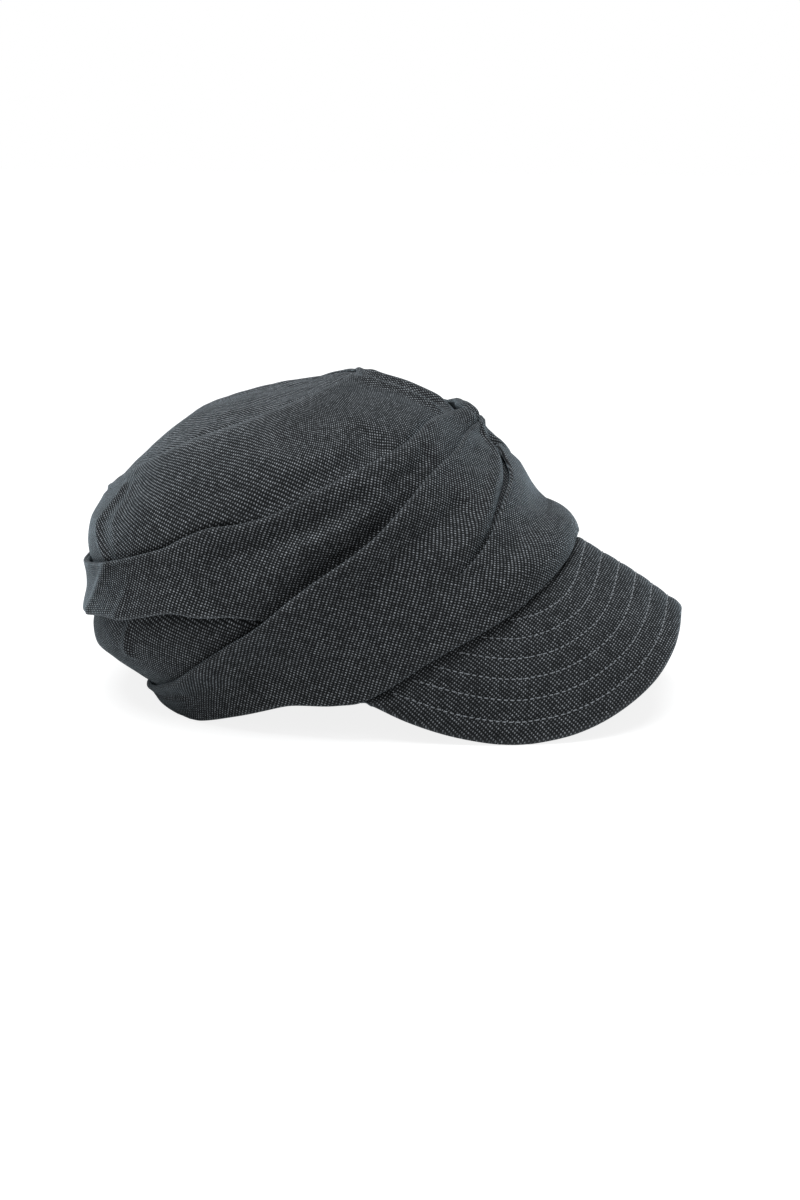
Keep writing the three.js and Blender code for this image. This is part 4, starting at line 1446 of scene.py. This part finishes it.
class CAP_OT_side_wall(bpy.types.Operator):
    """Make the side wall of the crown with its seam"""

    bl_idname = "cap.side_wall"
    bl_label = "Side Wall"

    def execute(self, context):
        finish_piece(make_side_wall(), cloth_material("crown_weave"), "crown_cloth", "side_crown")
        return {"FINISHED"}


class CAP_OT_upper_drape(bpy.types.Operator):
    """Make the upper pleated drape"""

    bl_idname = "cap.upper_drape"
    bl_label = "Upper Drape"

    def execute(self, context):
        piece = make_upper_drape()
        finish_piece(piece, cloth_material("drape_weave"), "drape_cloth", "upper_drape")
        return {"FINISHED"}


class CAP_OT_lower_drape(bpy.types.Operator):
    """Make the lower drape and the front pleat from one cloth"""

    bl_idname = "cap.lower_drape"
    bl_label = "Lower Drape and Front Pleat"

    def execute(self, context):
        piece = make_lower_drape()
        cloth = cloth_material("drape_weave")
        finish_piece(piece, cloth, "drape_cloth", "lower_drape", "front_drape")
        return {"FINISHED"}


class CAP_OT_peak(bpy.types.Operator):
    """Make the quilted peak and its stitching"""

    bl_idname = "cap.peak"
    bl_label = "Peak and Stitching"

    def execute(self, context):
        surface = peak_surface()
        finish_piece(make_peak(surface), cloth_material("peak_weave"), "peak_cloth", "peak")
        finish_piece(make_stitches(surface), stitch_thread(), "peak_cloth", "peak")
        return {"FINISHED"}


def seen_or_felt(n, seen, felt):
    """Colour of a surface as the camera sees it, and as it lights the cap."""
    path = n.add("ShaderNodeLightPath").outputs["Is Camera Ray"]
    return n.mix(path, (felt, felt, felt, 1), (seen, seen, seen, 1))


FLOOR_HALF = 3.0
FLOOR_SEEN = 0.3


def add_floor(scene, stage):
    corners = np.array(((-1, -1, 0), (1, -1, 0), (1, 1, 0), (-1, 1, 0))) * FLOOR_HALF
    mesh = bpy.data.meshes.new("floor")
    mesh.from_pydata(corners.tolist(), [], [(0, 1, 2, 3)])
    floor = bpy.data.objects.new("floor", mesh)
    scene.collection.objects.link(floor)
    paper, n, shader = new_material("white_paper")
    looks = {
        "Base Color": seen_or_felt(n, FLOOR_SEEN, stage.floor_bounce),
        "Emission Color": seen_or_felt(n, stage.floor_glow, 0),
        "Emission Strength": 1,
        "Roughness": 0.9,
        "Specular IOR Level": 0,
    }
    n.fill(shader, looks)
    floor.data.materials.append(paper)


def add_lights(scene, stage):
    world = bpy.data.worlds.new("white_room")
    world.use_nodes = True
    n = Nodes(world.node_tree)
    room = {"Color": seen_or_felt(n, 1, stage.room_light)}
    n.fill(world.node_tree.nodes["Background"].inputs, room)
    scene.world = world
    sun = bpy.data.lights.new("overhead", "SUN")
    sun.energy = stage.key_strength
    sun.angle = stage.key_spread
    sun.color = stage.key_colour
    aim(scene, "overhead", sun, -Vector(stage.key_place))


def add_camera(scene, stage):
    data = bpy.data.cameras.new("camera")
    data.lens = stage.lens
    data.sensor_width = 36
    data.clip_start = 0.01
    place = Vector(stage.camera_place)
    scene.camera = aim(scene, "camera", data, Vector(stage.camera_target) - place)
    scene.camera.location = place


def aim(scene, name, data, direction):
    """A light or camera in the scene that looks in a direction."""
    made = bpy.data.objects.new(name, data)
    made.rotation_mode = "QUATERNION"
    made.rotation_quaternion = direction.to_track_quat("-Z", "Y")
    scene.collection.objects.link(made)
    return made


class CAP_OT_stage(bpy.types.Operator):
    """Make the floor, lights and camera"""

    bl_idname = "cap.stage"
    bl_label = "Stage"

    def execute(self, context):
        scene = context.scene
        for add in (add_floor, add_lights, add_camera):
            add(scene, scene.cap_stage)
        scene.view_settings.view_transform = "Standard"
        return {"FINISHED"}


class CAP_PT_panel(bpy.types.Panel):
    """Lists the pieces of the cap"""

    bl_idname = "CAP_PT_panel"
    bl_label = "Draped Cap"
    bl_space_type = "VIEW_3D"
    bl_region_type = "UI"
    bl_category = "Cap"

    def draw(self, context):
        layout = self.layout
        for name, kind in SETTINGS:
            box = layout.box()
            for setting in kind.__annotations__:
                box.prop(getattr(context.scene, name), setting)
        for operator in OPERATORS:
            layout.operator(operator.bl_idname)


OPERATORS = (
    CAP_OT_tip,
    CAP_OT_side_wall,
    CAP_OT_upper_drape,
    CAP_OT_lower_drape,
    CAP_OT_peak,
    CAP_OT_stage,
)
SETTINGS = (("cap_cloth", CapCloth), ("cap_stitches", CapStitches), ("cap_stage", CapStage))


def register():
    for name, group in SETTINGS:
        bpy.utils.register_class(group)
        setattr(bpy.types.Scene, name, bpy.props.PointerProperty(type=group))
    for made in (*OPERATORS, CAP_PT_panel):
        bpy.utils.register_class(made)


def unregister():
    for made in reversed((*OPERATORS, CAP_PT_panel)):
        bpy.utils.unregister_class(made)
    for name, group in reversed(SETTINGS):
        delattr(bpy.types.Scene, name)
        bpy.utils.unregister_class(group)


def main():
    register()
    bpy.ops.cap.tip()
    bpy.ops.cap.side_wall()
    bpy.ops.cap.upper_drape()
    bpy.ops.cap.lower_drape()
    bpy.ops.cap.peak()
    bpy.ops.cap.stage()


if __name__ == "__main__":
    main()
